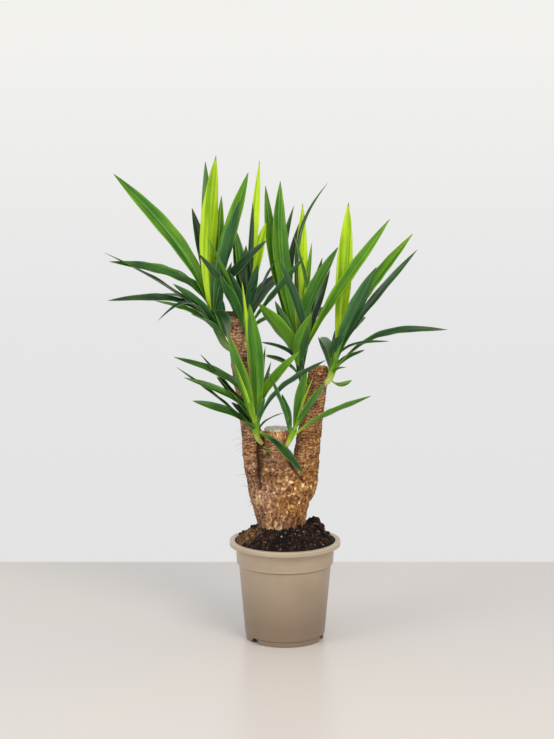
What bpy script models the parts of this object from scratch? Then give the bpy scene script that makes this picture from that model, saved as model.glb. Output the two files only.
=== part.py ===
"""A forked yucca with six leafy shoots, standing in a plastic nursery pot full of soil.

Metres, +Z up, and the front of the plant faces -Y. The origin is on the floor, under the middle of the
whole plant. Places are set out in millimetres from the pot's axis, and the last step moves everything
together so that the origin comes to its own place.
"""
from math import atan2, cos, log, pi, radians, sin

import bmesh
import bpy
import numpy as np
from mathutils import Vector, noise

MM = 0.001

# Room between pieces that touch, and how near two points are merged, millimetres
GAP = 0.3
MERGE = 0.002

# Colours, linear
TAUPE = (0.36, 0.28, 0.21)
SOIL_BROWN = (0.035, 0.022, 0.014)
BARK_BROWN = (0.28, 0.16, 0.07)
WAX_GREY = (0.5, 0.5, 0.42)
LEAF_GREEN = (0.08, 0.22, 0.03)

# Pot, millimetres
POT_SIDES = 32
LIP_RADIUS = 105.0
LIP_TOP = 190.0
LIP_DEPTH = 9.0
MOUTH_RADIUS = 95.0
BAND_TOP_RADIUS = 93.3
BAND_BOTTOM_RADIUS = 91.4
LEDGE_HEIGHT = 147.0
WALL_TOP_RADIUS = 87.4
WALL_BOTTOM_RADIUS = 75.8
STEP_HEIGHT = 11.0
FOOT_RADIUS = 73.6
FOOT_WIDTH = 2.2
EDGE_EASE = 0.8
WALL = 1.8
FLOOR_TOP = 12.0
NOTCH_RADIUS = 11.0
NOTCH_REACH = 12.0
NOTCH_BEARINGS = (100, 220, 340)
DRAIN_RADIUS = 4.5
DRAIN_RING = 46.0
DRAIN_COUNT = 6
DRAIN_SIDES = 8

# Soil, millimetres
SOIL_EDGE_HEIGHT = 186.5
SOIL_RISE = 33.0
SOIL_HOLE_RADIUS = 46.0
SOIL_RINGS = 8
SOIL_CLEAR = 0.8
SOIL_LUMP_HEIGHT = 2.2
SOIL_LUMP_SIZE = 13.0

# The mound beside the trunk: x, y, height, size
MOUND = (59, 12, 12, 10)

# Trunk, millimetres: centre x, y, height, half width, half depth
BASE = [
    (-6, 0, 134, 26, 25), (-6, 0, 140, 34, 32), (-6, 0, 172, 40, 39), (-7, 0, 205, 44, 43),
    (-7.5, 0, 224, 46.5, 44), (-8, 0, 246, 51.5, 46), (-8.5, 0, 266, 57, 47), (-6.5, 0, 285, 64, 46),
    (-6, 0, 303, 65, 43), (-6, 0, 319, 60, 38), (-6, 0, 331, 46, 31), (-6, 0, 338, 24, 17),
]
LEFT_STEM = [
    (-48, 0, 272, 17, 22), (-53, 0, 303, 20, 25), (-57, 0, 323, 20, 24), (-60.5, 0, 345, 19, 22),
    (-64, 0, 398, 18.5, 20), (-71, 0, 455, 19, 19.5), (-77, 0, 493, 20, 19.5), (-85, 0, 549, 18.5, 18),
    (-95, 0, 597, 17, 16.5), (-101, 0, 622, 16, 15.5), (-102, 0, 625, 14.5, 14),
]
STUB = [
    (-18, -3, 272, 26, 30), (-19, -4, 310, 27, 31), (-19, -4, 345, 26, 29), (-18, -3, 380, 24.5, 26),
    (-16, -2, 399, 23.5, 24), (-15.5, -2, 402, 22, 22.5),
]
RIGHT_STEM = [
    (32, 3, 268, 22, 24), (37, 3, 300, 25.5, 27), (39.5, 4, 326, 25, 26), (41, 5, 361, 24.5, 24),
    (46, 5, 398, 22.5, 22), (52.5, 5, 436, 20.5, 20), (58, 5, 474, 20.5, 19.5), (61, 5, 505, 19.5, 19),
    (62.5, 5, 519, 18.5, 18), (63, 5, 522, 17, 16.5),
]
TUBE_SIDES = 28
TRUNK_VOXEL = 4.0
TRUNK_TRIANGLES = 860
LUMP_HEIGHT = 1.5
LUMP_SIZE = 17.0
LUMP_FROM = 232.0
LUMP_FADE = 30.0

# Wax cap on the stub, millimetres
CAP_CENTRE = (-15.5, -2)
CAP_SPAN = (24.0, 24.5)
CAP_BOTTOM = 400.6
CAP_THICKNESS = 8.0
CAP_SIDES = 20
# Levels of the cap: share of its thickness, share of its span
CAP_LEVELS = [(0.0, 0.9), (0.25, 1.0), (0.6, 0.98), (0.85, 0.86), (1.0, 0.55)]
# The run of wax: x, y, z and radius
CAP_RUN = [(2, -6, 404, 5.5), (6.5, -5, 401, 5.0), (9.0, -4, 395, 3.8), (9.4, -4, 387.5, 2.6)]

# Shoots, millimetres: foot of the core, its top, radius at foot and top
SHOOTS = {
    "left_outer_head": ((-113, -8, 564), (-138, -14, 624), 7, 7),
    "left_inner_head": ((-78, 5, 566), (-69, 2, 636), 7, 6),
    "right_inner_head": ((32, -4, 492), (23, -8, 562), 6, 7),
    "right_outer_head": ((83, -4, 497), (94, -6, 538), 6, 7),
    "low_left_shoot": ((-52, -26, 390), (-56, -38, 424), 5, 6),
    "low_right_shoot": ((4, -17, 376), (18, -24, 408), 4.5, 5),
    "stub_bud": ((-33, -27, 358), (-33.5, -31, 364), 2.5, 2),
}
# Where each core starts inside the trunk, and its radius there
HEELS = {
    "left_outer_head": (-92, -4, 550, 6),
    "left_inner_head": (-84, 2, 554, 6),
    "right_inner_head": (47, 0, 476, 5),
    "right_outer_head": (66, 0, 484, 5),
    "low_left_shoot": (-43, -13, 377, 4),
    "low_right_shoot": (-4, -6, 366, 4),
    "stub_bud": (-31, -19, 354, 2),
}
CORE_SIDES = 8
# Half way up, leaf bases sheathe the core and make it this much thicker than its foot and top
CORE_SWELL = 1.2

# Leaves, one row each: seat on the core (0 foot, 1 top), tip x, y, z, arch, width, all in millimetres,
# then the turn toward the front at the root and at the tip in degrees, the sideways bow in millimetres,
# and how far along the leaf the arch is highest.
LEAVES = {
    "left_outer_head": [
        (0.95, -126,  -40, 914,   8, 36,  0,  0,  -6, 0.4),
        (0.85, -150,   78, 900,   0, 26,  0, 20,   0, 0.4),
        (0.60, -174,   36, 816,  -3, 26, 10, 40,   8, 0.4),
        (0.65, -320,   45, 878,  28, 34, 35, 55,   0, 0.4),
        (0.35, -334,  -14, 736,  16, 20,  5,  5,   0, 0.4),
        (0.50, -325,  -12, 719,  44, 30, 20, 40,   0, 0.4),
        (0.30, -205,  -60, 683,  12, 20, -10, -50,   0, 0.4),
        (0.20, -328,  -24, 648,  40, 22, 10, 45,   0, 0.4),
        (0.40, -233,  -60, 615,  42, 16,  0, 10,   0, 0.55),
        (0.50, -128,  -34, 725,   4, 26,  0,  0,   0, 0.4),
        (1.00, -106,  -70, 584,  18, 30,  0,  0,   0, 0.4),
        (0.90,  -69,   62, 880,   8, 34,  0, 20,   0, 0.4),
        (0.80,  -83,  -40, 834,   4, 36,  0, -25,   0, 0.4),
        (0.75, -120,   80, 836,   4, 22,  0, 30,   0, 0.4),
        (0.65,  -32,  -12, 760,  22, 26, 20, 45,   0, 0.4),
        (0.75,  -98,  -30, 720,   2, 22,  0, -20,   0, 0.4),
        (0.30, -116,  -42, 654,   6, 18,  0,  0,   0, 0.4),
    ],
    "left_inner_head": [
        (0.95,  -48,   70, 902,   4, 18,  0, 50,   0, 0.4),
        (0.90,  -36,   50, 789,   6, 24, 10, 30,   0, 0.4),
        (0.75,  -60,   30, 828,   0, 12, 24, 54,   0, 0.4),
        (0.50, -140, -110, 772,   6,  9,  0, -20,   0, 0.4),
        (0.30, -157, -112, 744,  14, 18,  0, -25,   0, 0.4),
        (0.20, -119,  -82, 700,   8, 24,  0, -10,   0, 0.4),
        (0.65,  -96,   40, 774,   0, 24,  0, 10,   0, 0.4),
        (0.55,  -15,  -10, 725,   4, 24,  0, 20,   0, 0.4),
        (0.35,   34,  -52, 731,   0, 18,  0, -40,   0, 0.4),
        (0.85,  -93,   30, 778,   2, 22,  0, 15,   0, 0.4),
        (0.70,  -73,   20, 747,   2, 22,  0, 15,   0, 0.4),
        (0.45, -101,  -50, 703,   4, 20,  0, -20,   0, 0.4),
        (0.50,  -50,  -40, 718,   4, 20,  0, -20,   0, 0.4),
        (0.32, -120,   44, 708,   2, 20,  0,  0,   0, 0.4),
    ],
    "right_inner_head": [
        (0.85,  -37,   80, 855,   0, 26,  0, 30, -10, 0.5),
        (0.95,   -9,   60, 864,   0, 36,  0,  0, -14, 0.55),
        (0.80,   33,   60, 822,   4, 26,  0, 20,   0, 0.4),
        (0.70,   82,  110, 859,  54,  8, 10, 60, -14, 0.6),
        (0.75,   17,  100, 816,   4, 18,  0, 20, -28, 0.5),
        (0.65,   27,   84, 785,   4, 18,  0, 20, -22, 0.5),
        (0.60,   95,  -94, 753,  27, 30,  0, -20,   0, 0.4),
        (0.55,   70,   42, 722,   4, 20,  0, 20,   0, 0.4),
        (0.50,   86,   92, 695,   6, 18,  0, 20,   0, 0.4),
        (0.35,  -49,  -60, 647,  10, 38, -10, -35,   0, 0.4),
        (0.45,  -19,  -54, 651,   4, 22,  0, -30,   0, 0.4),
        (0.25,  -45,  -40, 573,  18, 17,  0, -40,   0, 0.4),
        (0.10,  -37,  -22, 547,  10, 13,  0, 50,   0, 0.4),
        (0.45,   40,  -60, 611,   4, 24,  0,  0,   0, 0.4),
        (0.30,   49,  -76, 633,   4, 24,  0, 10, -12, 0.4),
        (0.75,   50,   34, 751,   2, 13,  0, 30,   0, 0.4),
        (0.55,  193,    0, 797,  10, 26, 20, 75,   0, 0.4),
        (0.50,   16,   -2, 768,   0, 12,  0, 30,  24, 0.4),
        (0.60,  -13,  -80, 731,   2, 17,  0, -30,  20, 0.4),
    ],
    "right_outer_head": [
        (0.95,  119,   60, 824,   4, 34,  0,  0,   6, 0.4),
        (0.75,  239,   40, 767,  20, 27, 20, 50,   0, 0.4),
        (0.60,  166,  -54, 713,   6, 34, -15, -50,   0, 0.4),
        (0.50,  243,  -20, 742,  13, 20, 20, 60,   0, 0.4),
        (0.35,  302,  -10, 592,  34, 18,  0, 70,   0, 0.46),
        (0.10,  193,  -30, 573,  32, 11,  0, 40,   0, 0.4),
        (0.30,   60,  -46, 584,   4, 13,  0, 10,   0, 0.4),
        (0.15,  112,  -40, 526,   6, 14,  0, -20,   0, 0.4),
        (0.00,  126,   12, 494, -10, 11, 30, 60,   0, 0.4),
    ],
    "low_left_shoot": [
        (0.35,   33, -110, 339,   8, 23,  0, 10,   0, 0.4),
        (0.20, -172,  -44, 464,  13, 22, 15, 55,   0, 0.4),
        (0.35, -188,  -34, 506,  25, 18, 15, 55,   0, 0.4),
        (0.45, -202,  -24, 524,   4, 13,  0, 20,   0, 0.4),
        (0.60, -208,   -4, 540,  38, 22, 10, 40,   0, 0.4),
        (0.70, -158,  -14, 547,   4, 14,  0, 20,   0, 0.4),
        (0.15, -100,  -40, 461,   6, 20, 20, 60,   0, 0.4),
        (0.50, -128,  -20, 505,   6, 22, 10, 30,   0, 0.4),
        (0.60, -105, -126, 605,  -2, 34,  0, 20,   0, 0.4),
        (0.80,  -65, -100, 652,   2, 30,  0,  0,   7, 0.4),
        (0.90,  -79,  -72, 691,   2, 15,  0, 20,   0, 0.4),
        (0.85,  -92, -112, 545,   2,  9,  0, 30,   0, 0.4),
        (0.80,  -26,  -20, 534,   2, 13,  0, 20,   0, 0.4),
        (0.60,   28,  -50, 559,  20, 21, 50, 75,   0, 0.4),
        (0.40,   75,  -62, 543,  23, 20, -10, -45,   0, 0.4),
        (0.75,  -38,  -60, 473,   4, 20,  0,  0,   0, 0.4),
        (0.25,   -2,  -64, 445,  10, 10,  0, 10,   0, 0.4),
        (0.90,  -37,   12, 559,   2,  9,  0, 60,   0, 0.4),
    ],
    "low_right_shoot": [
        (0.60,   73,  -80, 503,   2, 21,  0, -20,   0, 0.4),
        (0.35,  157,  -90, 481,   8, 18, -15, -50,   0, 0.4),
        (0.70,  -32, -100, 529,   2, 13,  0, 20,   0, 0.4),
        (0.50,   -6,  -68, 481,   2, 18,  0, 20,   0, 0.4),
        (0.80,   40,  -30, 524,   2, 20, -50, -70,   0, 0.4),
        (0.90,   52,  -45, 509,   2, 12,  0, 20,   0, 0.4),
    ],
    "stub_bud": [
        (0.50,  -36,  -37, 371,   1,  4,  0,  0,   0, 0.4),
        (0.60,  -30,  -36, 370,   1,  4,  0,  0,   0, 0.4),
        (0.80,  -33,  -34, 374,   1,  4,  0,  0,   0, 0.4),
    ],
}

# Leaves set round a core by a rule: how many, first bearing and spread in degrees, length, width, least
# lean from upright in degrees and how much more. The far side's come first, then short ones close in.
ROUND_LEAVES = {
    "left_outer_head": [(4, 85, 70, 210, 22, 52, 36), (2, 150, 120, 110, 22, 20, 50)],
    "left_inner_head": [(3, 50, 50, 190, 20, 52, 36), (2, -60, 100, 85, 22, 20, 50)],
    "right_inner_head": [(3, 68, 60, 190, 20, 52, 36), (2, 105, 110, 90, 20, 25, 50)],
    "right_outer_head": [(3, 62, 55, 190, 20, 52, 36), (2, -70, 140, 95, 20, 20, 50)],
    "low_left_shoot": [(2, 160, 120, 75, 16, 20, 50)],
    "low_right_shoot": [],
    "stub_bud": [],
}
ROUND_ARCH_SHARE = 0.11
ROUND_TURN = 15
# From the first to the last of a set: highest seat and how far the seats drop, least share of the length
# and how much more, and where in its range the lean starts
ROUND_SEAT = (0.85, 0.75)
ROUND_SIZE = (0.8, 0.25)
ROUND_LEAN_START = 0.3
GOLDEN = 0.618

# A leaf's stations along it, its outline, thicknesses and fold
LONG_STATIONS = (0.0, 0.17, 0.37, 0.58, 0.8, 1.0)
SHORT_STATIONS = (0.0, 0.25, 0.5, 0.78, 1.0)
SMALL_STATIONS = (0.0, 0.35, 0.7, 1.0)
LONG_LEAF = 230
SMALL_LEAF = 100
WIDEST = 0.54
ROOT_SHARE = 0.3
ROOT_DEPTH = 0.55
TIP_SHARE = 0.07
RIB_THICKNESS = 1.7
EDGE_THICKNESS = 0.8
FOLD_AT_TIP = 0.28
FOLD_MORE_AT_ROOT = 0.35


def clear_scene():
    for obj in list(bpy.data.objects):
        bpy.data.objects.remove(obj, do_unlink=True)


def material(name, colour, roughness):
    mat = bpy.data.materials.new(name)
    mat.use_nodes = True
    shader = mat.node_tree.nodes["Principled BSDF"]
    shader.inputs["Base Color"].default_value = (*colour, 1.0)
    shader.inputs["Roughness"].default_value = roughness
    return mat


def solid(name, points, faces, mat=None):
    """One closed object from points in millimetres, with its faces turned outward."""
    mesh = bpy.data.meshes.new(name)
    mesh.from_pydata([tuple(float(c) * MM for c in p) for p in points], [], faces)
    work = bmesh.new()
    work.from_mesh(mesh)
    bmesh.ops.recalc_face_normals(work, faces=work.faces)
    work.to_mesh(mesh)
    work.free()
    obj = bpy.data.objects.new(name, mesh)
    bpy.context.scene.collection.objects.link(obj)
    if mat:
        mesh.materials.append(mat)
    return obj


def smooth(obj, angle=35):
    obj.data.shade_smooth()
    obj.data.set_sharp_from_angle(angle=radians(angle))


def apply_modifiers(obj):
    """Keep the evaluated shape as the object's own mesh."""
    evaluated = obj.evaluated_get(bpy.context.evaluated_depsgraph_get())
    mesh = bpy.data.meshes.new_from_object(evaluated)
    mesh.name = obj.name
    obj.modifiers.clear()
    obj.data = mesh


def tidy(obj):
    """Merge points that a cut left together and split the faces into triangles."""
    work = bmesh.new()
    work.from_mesh(obj.data)
    bmesh.ops.remove_doubles(work, verts=work.verts, dist=MERGE * MM)
    bmesh.ops.dissolve_degenerate(work, edges=work.edges, dist=MERGE * MM)
    bmesh.ops.triangulate(work, faces=work.faces)
    work.to_mesh(obj.data)
    work.free()


def drop_offcuts(obj):
    """Keep the largest connected body of a mesh, where a cut left crumbs beside it."""
    work = bmesh.new()
    work.from_mesh(obj.data)
    left = set(work.verts)
    bodies = []
    while left:
        body = {left.pop()}
        edge = list(body)
        while edge:
            near = {e.other_vert(v) for v in edge for e in v.link_edges} - body
            body |= near
            edge = list(near)
        left -= body
        bodies.append(body)
    bodies.sort(key=len)
    for body in bodies[:-1]:
        bmesh.ops.delete(work, geom=list(body), context="VERTS")
    work.to_mesh(obj.data)
    work.free()


def boolean(obj, others, operation, solver="EXACT"):
    """Join or cut obj with a list of objects, which are then removed."""
    group = bpy.data.collections.new("operands")
    bpy.context.scene.collection.children.link(group)
    for other in others:
        group.objects.link(other)
    change = obj.modifiers.new("change", "BOOLEAN")
    change.operation = operation
    change.operand_type = "COLLECTION"
    change.collection = group
    change.solver = solver
    apply_modifiers(obj)
    for other in others:
        bpy.data.objects.remove(other, do_unlink=True)
    bpy.data.collections.remove(group)
    tidy(obj)


def lathe(name, profile, sides, mat=None):
    """Turn a profile of (radius, height) about Z. It starts and ends on the axis."""
    points = [(0, 0, profile[0][1])]
    faces = []
    rings = []
    for radius, height in profile[1:-1]:
        rings.append(len(points))
        for k in range(sides):
            bearing = 2 * pi * k / sides
            points.append((radius * cos(bearing), radius * sin(bearing), height))
    last = len(points)
    points.append((0, 0, profile[-1][1]))
    for k in range(sides):
        after = (k + 1) % sides
        faces.append((0, rings[0] + after, rings[0] + k))
        faces.append((last, rings[-1] + k, rings[-1] + after))
        for low, high in zip(rings, rings[1:]):
            faces.append((low + k, low + after, high + after, high + k))
    return solid(name, points, faces, mat)


def wall_radius(height):
    """Outer radius of the pot's lower wall at a height."""
    share = (height - STEP_HEIGHT) / (LEDGE_HEIGHT - STEP_HEIGHT)
    return WALL_BOTTOM_RADIUS + (WALL_TOP_RADIUS - WALL_BOTTOM_RADIUS) * share


def pot_profile():
    """From the middle of the underside, out and up the outside, over the lip and down the inside."""
    under = LIP_TOP - LIP_DEPTH
    ceiling = LIP_TOP - WALL - 0.4
    foot_inside = FOOT_RADIUS - EDGE_EASE - FOOT_WIDTH
    return [
        (0, FLOOR_TOP - WALL), (foot_inside - 0.6, FLOOR_TOP - WALL), (foot_inside, 0),
        (FOOT_RADIUS - EDGE_EASE, 0), (FOOT_RADIUS - 0.2, EDGE_EASE),
        (FOOT_RADIUS + 0.4, STEP_HEIGHT - 1.6),
        (WALL_BOTTOM_RADIUS, STEP_HEIGHT),
        (WALL_TOP_RADIUS, LEDGE_HEIGHT - 2), (BAND_BOTTOM_RADIUS - 1, LEDGE_HEIGHT - 0.6),
        (BAND_BOTTOM_RADIUS, LEDGE_HEIGHT + EDGE_EASE), (BAND_TOP_RADIUS, under - 1),
        (MOUTH_RADIUS + WALL - 0.4, under + 3), (MOUTH_RADIUS + WALL, ceiling),
        (LIP_RADIUS - WALL - 0.2, ceiling), (LIP_RADIUS - WALL, under), (LIP_RADIUS, under),
        (LIP_RADIUS, LIP_TOP - 2.6), (LIP_RADIUS - EDGE_EASE, LIP_TOP - EDGE_EASE),
        (LIP_RADIUS - 2.6, LIP_TOP), (MOUTH_RADIUS + 1.6, LIP_TOP),
        (MOUTH_RADIUS + 0.3, LIP_TOP - EDGE_EASE),
        (MOUTH_RADIUS, under + 4.4), (BAND_TOP_RADIUS - WALL - 0.1, under - 2),
        (BAND_BOTTOM_RADIUS - WALL, LEDGE_HEIGHT + 2.4), (WALL_TOP_RADIUS - WALL, LEDGE_HEIGHT - 1.2),
        (wall_radius(FLOOR_TOP + 2) - WALL, FLOOR_TOP + 2), (WALL_BOTTOM_RADIUS - WALL - 2, FLOOR_TOP),
        (0, FLOOR_TOP),
    ]


def rod(start, end, radius, sides):
    """A straight round bar between two points in millimetres."""
    start = Vector(start)
    end = Vector(end)
    turn = (end - start).to_track_quat("Z", "Y")
    points = []
    for centre in (start, end):
        for k in range(sides):
            bearing = 2 * pi * k / sides
            points.append(centre + turn @ Vector((radius * cos(bearing), radius * sin(bearing), 0)))
    faces = [tuple(range(sides)), tuple(range(2 * sides - 1, sides - 1, -1))]
    for k in range(sides):
        after = (k + 1) % sides
        faces.append((k, after, sides + after, sides + k))
    return solid("rod", points, faces)


def make_pot():
    pot = lathe("pot", pot_profile(), POT_SIDES, material("taupe_plastic", TAUPE, 0.5))
    cutters = []
    for bearing in NOTCH_BEARINGS:
        way = np.array([cos(radians(bearing)), sin(radians(bearing)), 0])
        inner = way * (FOOT_RADIUS - NOTCH_REACH)
        outer = way * (FOOT_RADIUS + NOTCH_REACH)
        cutters.append(rod(inner, outer, NOTCH_RADIUS, 16))
    for k in range(DRAIN_COUNT):
        bearing = 2 * pi * (k + 0.5) / DRAIN_COUNT
        x = DRAIN_RING * cos(bearing)
        y = DRAIN_RING * sin(bearing)
        cutters.append(rod((x, y, FLOOR_TOP - 6), (x, y, FLOOR_TOP + 4), DRAIN_RADIUS, DRAIN_SIDES))
    boolean(pot, cutters, "DIFFERENCE")
    smooth(pot)


def tube(name, rings, sides):
    """A closed upright tube through rings of (x, y, z, half width, half depth)."""
    points = []
    faces = []
    for x, y, z, wide, deep in rings:
        for k in range(sides):
            bearing = 2 * pi * k / sides
            points.append((x + wide * cos(bearing), y + deep * sin(bearing), z))
    for low in range(len(rings) - 1):
        for k in range(sides):
            a = low * sides + k
            b = low * sides + (k + 1) % sides
            faces.append((a, b, b + sides, a + sides))
    faces.append(tuple(range(sides - 1, -1, -1)))
    faces.append(tuple(range(len(points) - sides, len(points))))
    return solid(name, points, faces)


def lump(point):
    """Height in millimetres of the bark's slow lumps, faded out where the trunk is in the soil."""
    shown = min(1.0, max(0.0, (point.z / MM - LUMP_FROM) / LUMP_FADE))
    return LUMP_HEIGHT * shown * noise.noise(point / (LUMP_SIZE * MM))


def make_trunk():
    """The base and its three stems are run together, roughened and thinned to few faces."""
    trunk = tube("trunk", BASE, TUBE_SIDES)
    stems = [tube("stem", rings, TUBE_SIDES) for rings in (LEFT_STEM, STUB, RIGHT_STEM)]
    boolean(trunk, stems, "UNION")
    remesh = trunk.modifiers.new("even", "REMESH")
    remesh.mode = "VOXEL"
    remesh.voxel_size = TRUNK_VOXEL * MM
    apply_modifiers(trunk)
    mesh = trunk.data
    moved = [v.co + v.normal * lump(v.co) * MM for v in mesh.vertices]
    for vertex, place in zip(mesh.vertices, moved):
        vertex.co = place
    thin = trunk.modifiers.new("thin", "DECIMATE")
    thin.ratio = TRUNK_TRIANGLES / (2 * len(mesh.polygons))
    apply_modifiers(trunk)
    tidy(trunk)
    trunk.data.materials.clear()
    trunk.data.materials.append(material("bark", BARK_BROWN, 0.9))
    smooth(trunk, 60)
    return trunk


def room_for(obj):
    """A cutter: the object grown by the gap that touching pieces keep."""
    cutter = bpy.data.objects.new("room", obj.data.copy())
    bpy.context.scene.collection.objects.link(cutter)
    cutter.hide_render = True
    cutter.display_type = "WIRE"
    places = [v.co + v.normal * GAP * MM for v in cutter.data.vertices]
    for vertex, place in zip(cutter.data.vertices, places):
        vertex.co = place
    return cutter


def soil_height(x, y):
    """Height of the soil's surface: heaped to the trunk, with a mound at the right and small lumps."""
    reach = (np.hypot(x, y) - SOIL_HOLE_RADIUS) / (MOUTH_RADIUS - SOIL_HOLE_RADIUS)
    heap = SOIL_RISE * (1 - min(1.0, max(0.0, reach))) ** 0.8
    mound_x, mound_y, mound_height, mound_size = MOUND
    away = ((x - mound_x) ** 2 + (y - mound_y) ** 2) / (2 * mound_size ** 2)
    rough = SOIL_LUMP_HEIGHT * noise.noise(Vector((x / SOIL_LUMP_SIZE, y / SOIL_LUMP_SIZE, 3.1)))
    calm_rim = min(1.0, max(0.0, 1 - reach) * 4)
    return SOIL_EDGE_HEIGHT + heap + mound_height * np.exp(-away) + rough * calm_rim


def make_soil(trunk):
    """The fill of the pot, less the hole that the trunk stands in."""
    sides = POT_SIDES
    edge = MOUTH_RADIUS - SOIL_CLEAR - 0.1
    walls = [
        (WALL_BOTTOM_RADIUS - WALL - 4, FLOOR_TOP + GAP),
        (wall_radius(FLOOR_TOP + 3) - WALL - 1, FLOOR_TOP + 3),
        (WALL_TOP_RADIUS - WALL - SOIL_CLEAR, LEDGE_HEIGHT - SOIL_CLEAR),
        (BAND_BOTTOM_RADIUS - WALL - SOIL_CLEAR, LEDGE_HEIGHT + 3.4),
        (BAND_TOP_RADIUS - WALL - SOIL_CLEAR - 0.1, LIP_TOP - LIP_DEPTH - 2),
    ]
    points = [(0, 0, FLOOR_TOP + GAP)]
    for radius, height in walls:
        for k in range(sides):
            bearing = 2 * pi * k / sides
            points.append((radius * cos(bearing), radius * sin(bearing), height))
    for ring in range(SOIL_RINGS):
        radius = edge * (1 - ring / SOIL_RINGS) ** 0.9
        for k in range(sides):
            bearing = 2 * pi * k / sides
            x = radius * cos(bearing)
            y = radius * sin(bearing)
            points.append((x, y, soil_height(x, y)))
    points.append((0, 0, soil_height(0, 0)))
    faces = []
    rings = len(walls) + SOIL_RINGS
    last = len(points) - 1
    for k in range(sides):
        after = (k + 1) % sides
        faces.append((0, 1 + after, 1 + k))
        faces.append((last, last - sides + k, last - sides + after))
        for ring in range(rings - 1):
            low = 1 + ring * sides
            high = low + sides
            faces.append((low + k, low + after, high + after, high + k))
    soil = solid("potting_soil", points, faces, material("soil", SOIL_BROWN, 0.95))
    boolean(soil, [room_for(trunk)], "DIFFERENCE")
    smooth(soil, 50)


def round_rows(name):
    """Leaves that fill out a tuft, spread by the golden ratio as leaves on a stem are."""
    foot, top = (np.array(v, float) for v in SHOOTS[name][:2])
    rows = []
    for count, first, spread, length, width, lean_least, lean_more in ROUND_LEAVES[name]:
        for i in range(count):
            bearing = radians(first + spread * (i * GOLDEN % 1))
            lean = radians(lean_least + lean_more * ((i * (1 - GOLDEN) + ROUND_LEAN_START) % 1))
            seat = ROUND_SEAT[0] - ROUND_SEAT[1] * i / (count - 1)
            size = length * (ROUND_SIZE[0] + ROUND_SIZE[1] * (i * (1 - GOLDEN) % 1))
            way = np.array([sin(lean) * cos(bearing), sin(lean) * sin(bearing), cos(lean)])
            tip = foot + (top - foot) * seat + size * way
            rows.append((seat, *tip, ROUND_ARCH_SHARE * size, width, 0, ROUND_TURN, 0, 0.4))
    return rows


def width_share(t):
    """Half width at t, 0 at the root and 1 at the tip, as a share of the widest."""
    if t <= WIDEST:
        return ROOT_SHARE + (1 - ROOT_SHARE) * sin(t / WIDEST * pi / 2) ** 1.4
    return max(TIP_SHARE, (1 - ((t - WIDEST) / (1 - WIDEST)) ** 1.8) ** 0.9)


def stations_for(length):
    """Where along a leaf its sections stand: more of them on a longer leaf."""
    if length > LONG_LEAF:
        return np.array(LONG_STATIONS)
    return np.array(SHORT_STATIONS if length > SMALL_LEAF else SMALL_STATIONS)


def blade_line(name, row):
    """Stations along a leaf, its midrib points there, and the ways across it and out of its upper face."""
    seat, x, y, z, arch, width, turn_root, turn_tip, side, peak = row
    foot, top = (np.array(v, float) for v in SHOOTS[name][:2])
    foot_radius, top_radius = SHOOTS[name][2:]
    tip = np.array([x, y, z])
    root = foot + (top - foot) * seat
    bearing = atan2(y - root[1], x - root[0])
    skin = ROOT_DEPTH * (foot_radius + (top_radius - foot_radius) * seat)
    root = root + skin * np.array([cos(bearing), sin(bearing), 0])
    chord = tip - root
    level = np.array([-sin(bearing), cos(bearing), 0])
    up = np.cross(chord, level)
    up = up / np.linalg.norm(up)
    if up[2] < 0:
        up = -up
    t = stations_for(np.linalg.norm(chord))
    rise = np.sin(pi * t ** (log(0.5) / log(peak)))
    bend = up * arch + np.array([side, 0, 0])
    line = root + t[:, None] * chord + rise[:, None] * bend
    along = np.gradient(line, t, axis=0)
    along = along / np.linalg.norm(along, axis=1)[:, None]
    across = level - (along @ level)[:, None] * along
    across = across / np.linalg.norm(across, axis=1)[:, None]
    out = np.cross(along, across)
    front = 1 if cos(bearing) >= 0 else -1
    turn = np.radians(turn_root + (turn_tip - turn_root) * t)[:, None] * front
    return t, line, across * np.cos(turn) + out * np.sin(turn), out * np.cos(turn) - across * np.sin(turn)


def blade(name, row):
    """A folded strap of six-sided sections, cut into triangles alike on both faces."""
    half = row[5] / 2
    points = []
    for t, p, a, n in zip(*blade_line(name, row)):
        w = half * width_share(t)
        fold = FOLD_AT_TIP + FOLD_MORE_AT_ROOT * (1 - t) ** 2
        rib = n * RIB_THICKNESS / 2
        rim = n * EDGE_THICKNESS / 2
        left = p - a * w * cos(fold) + n * w * sin(fold)
        right = p + a * w * cos(fold) + n * w * sin(fold)
        points += [left + rim, p + rib, right + rim, right - rim, p - rib, left - rim]
    faces = [(0, 1, 4), (0, 4, 5), (1, 2, 3), (1, 3, 4)]
    end = len(points) - 6
    for i in range(0, end, 6):
        for near, far in ((0, 1), (1, 2), (5, 4), (4, 3), (0, 5), (2, 3)):
            faces.append((i + near, i + far, i + far + 6))
            faces.append((i + near, i + far + 6, i + near + 6))
    faces += [(end, end + 1, end + 4), (end, end + 4, end + 5), (end + 1, end + 2, end + 3)]
    faces.append((end + 1, end + 3, end + 4))
    return solid("blade", points, faces)


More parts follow.
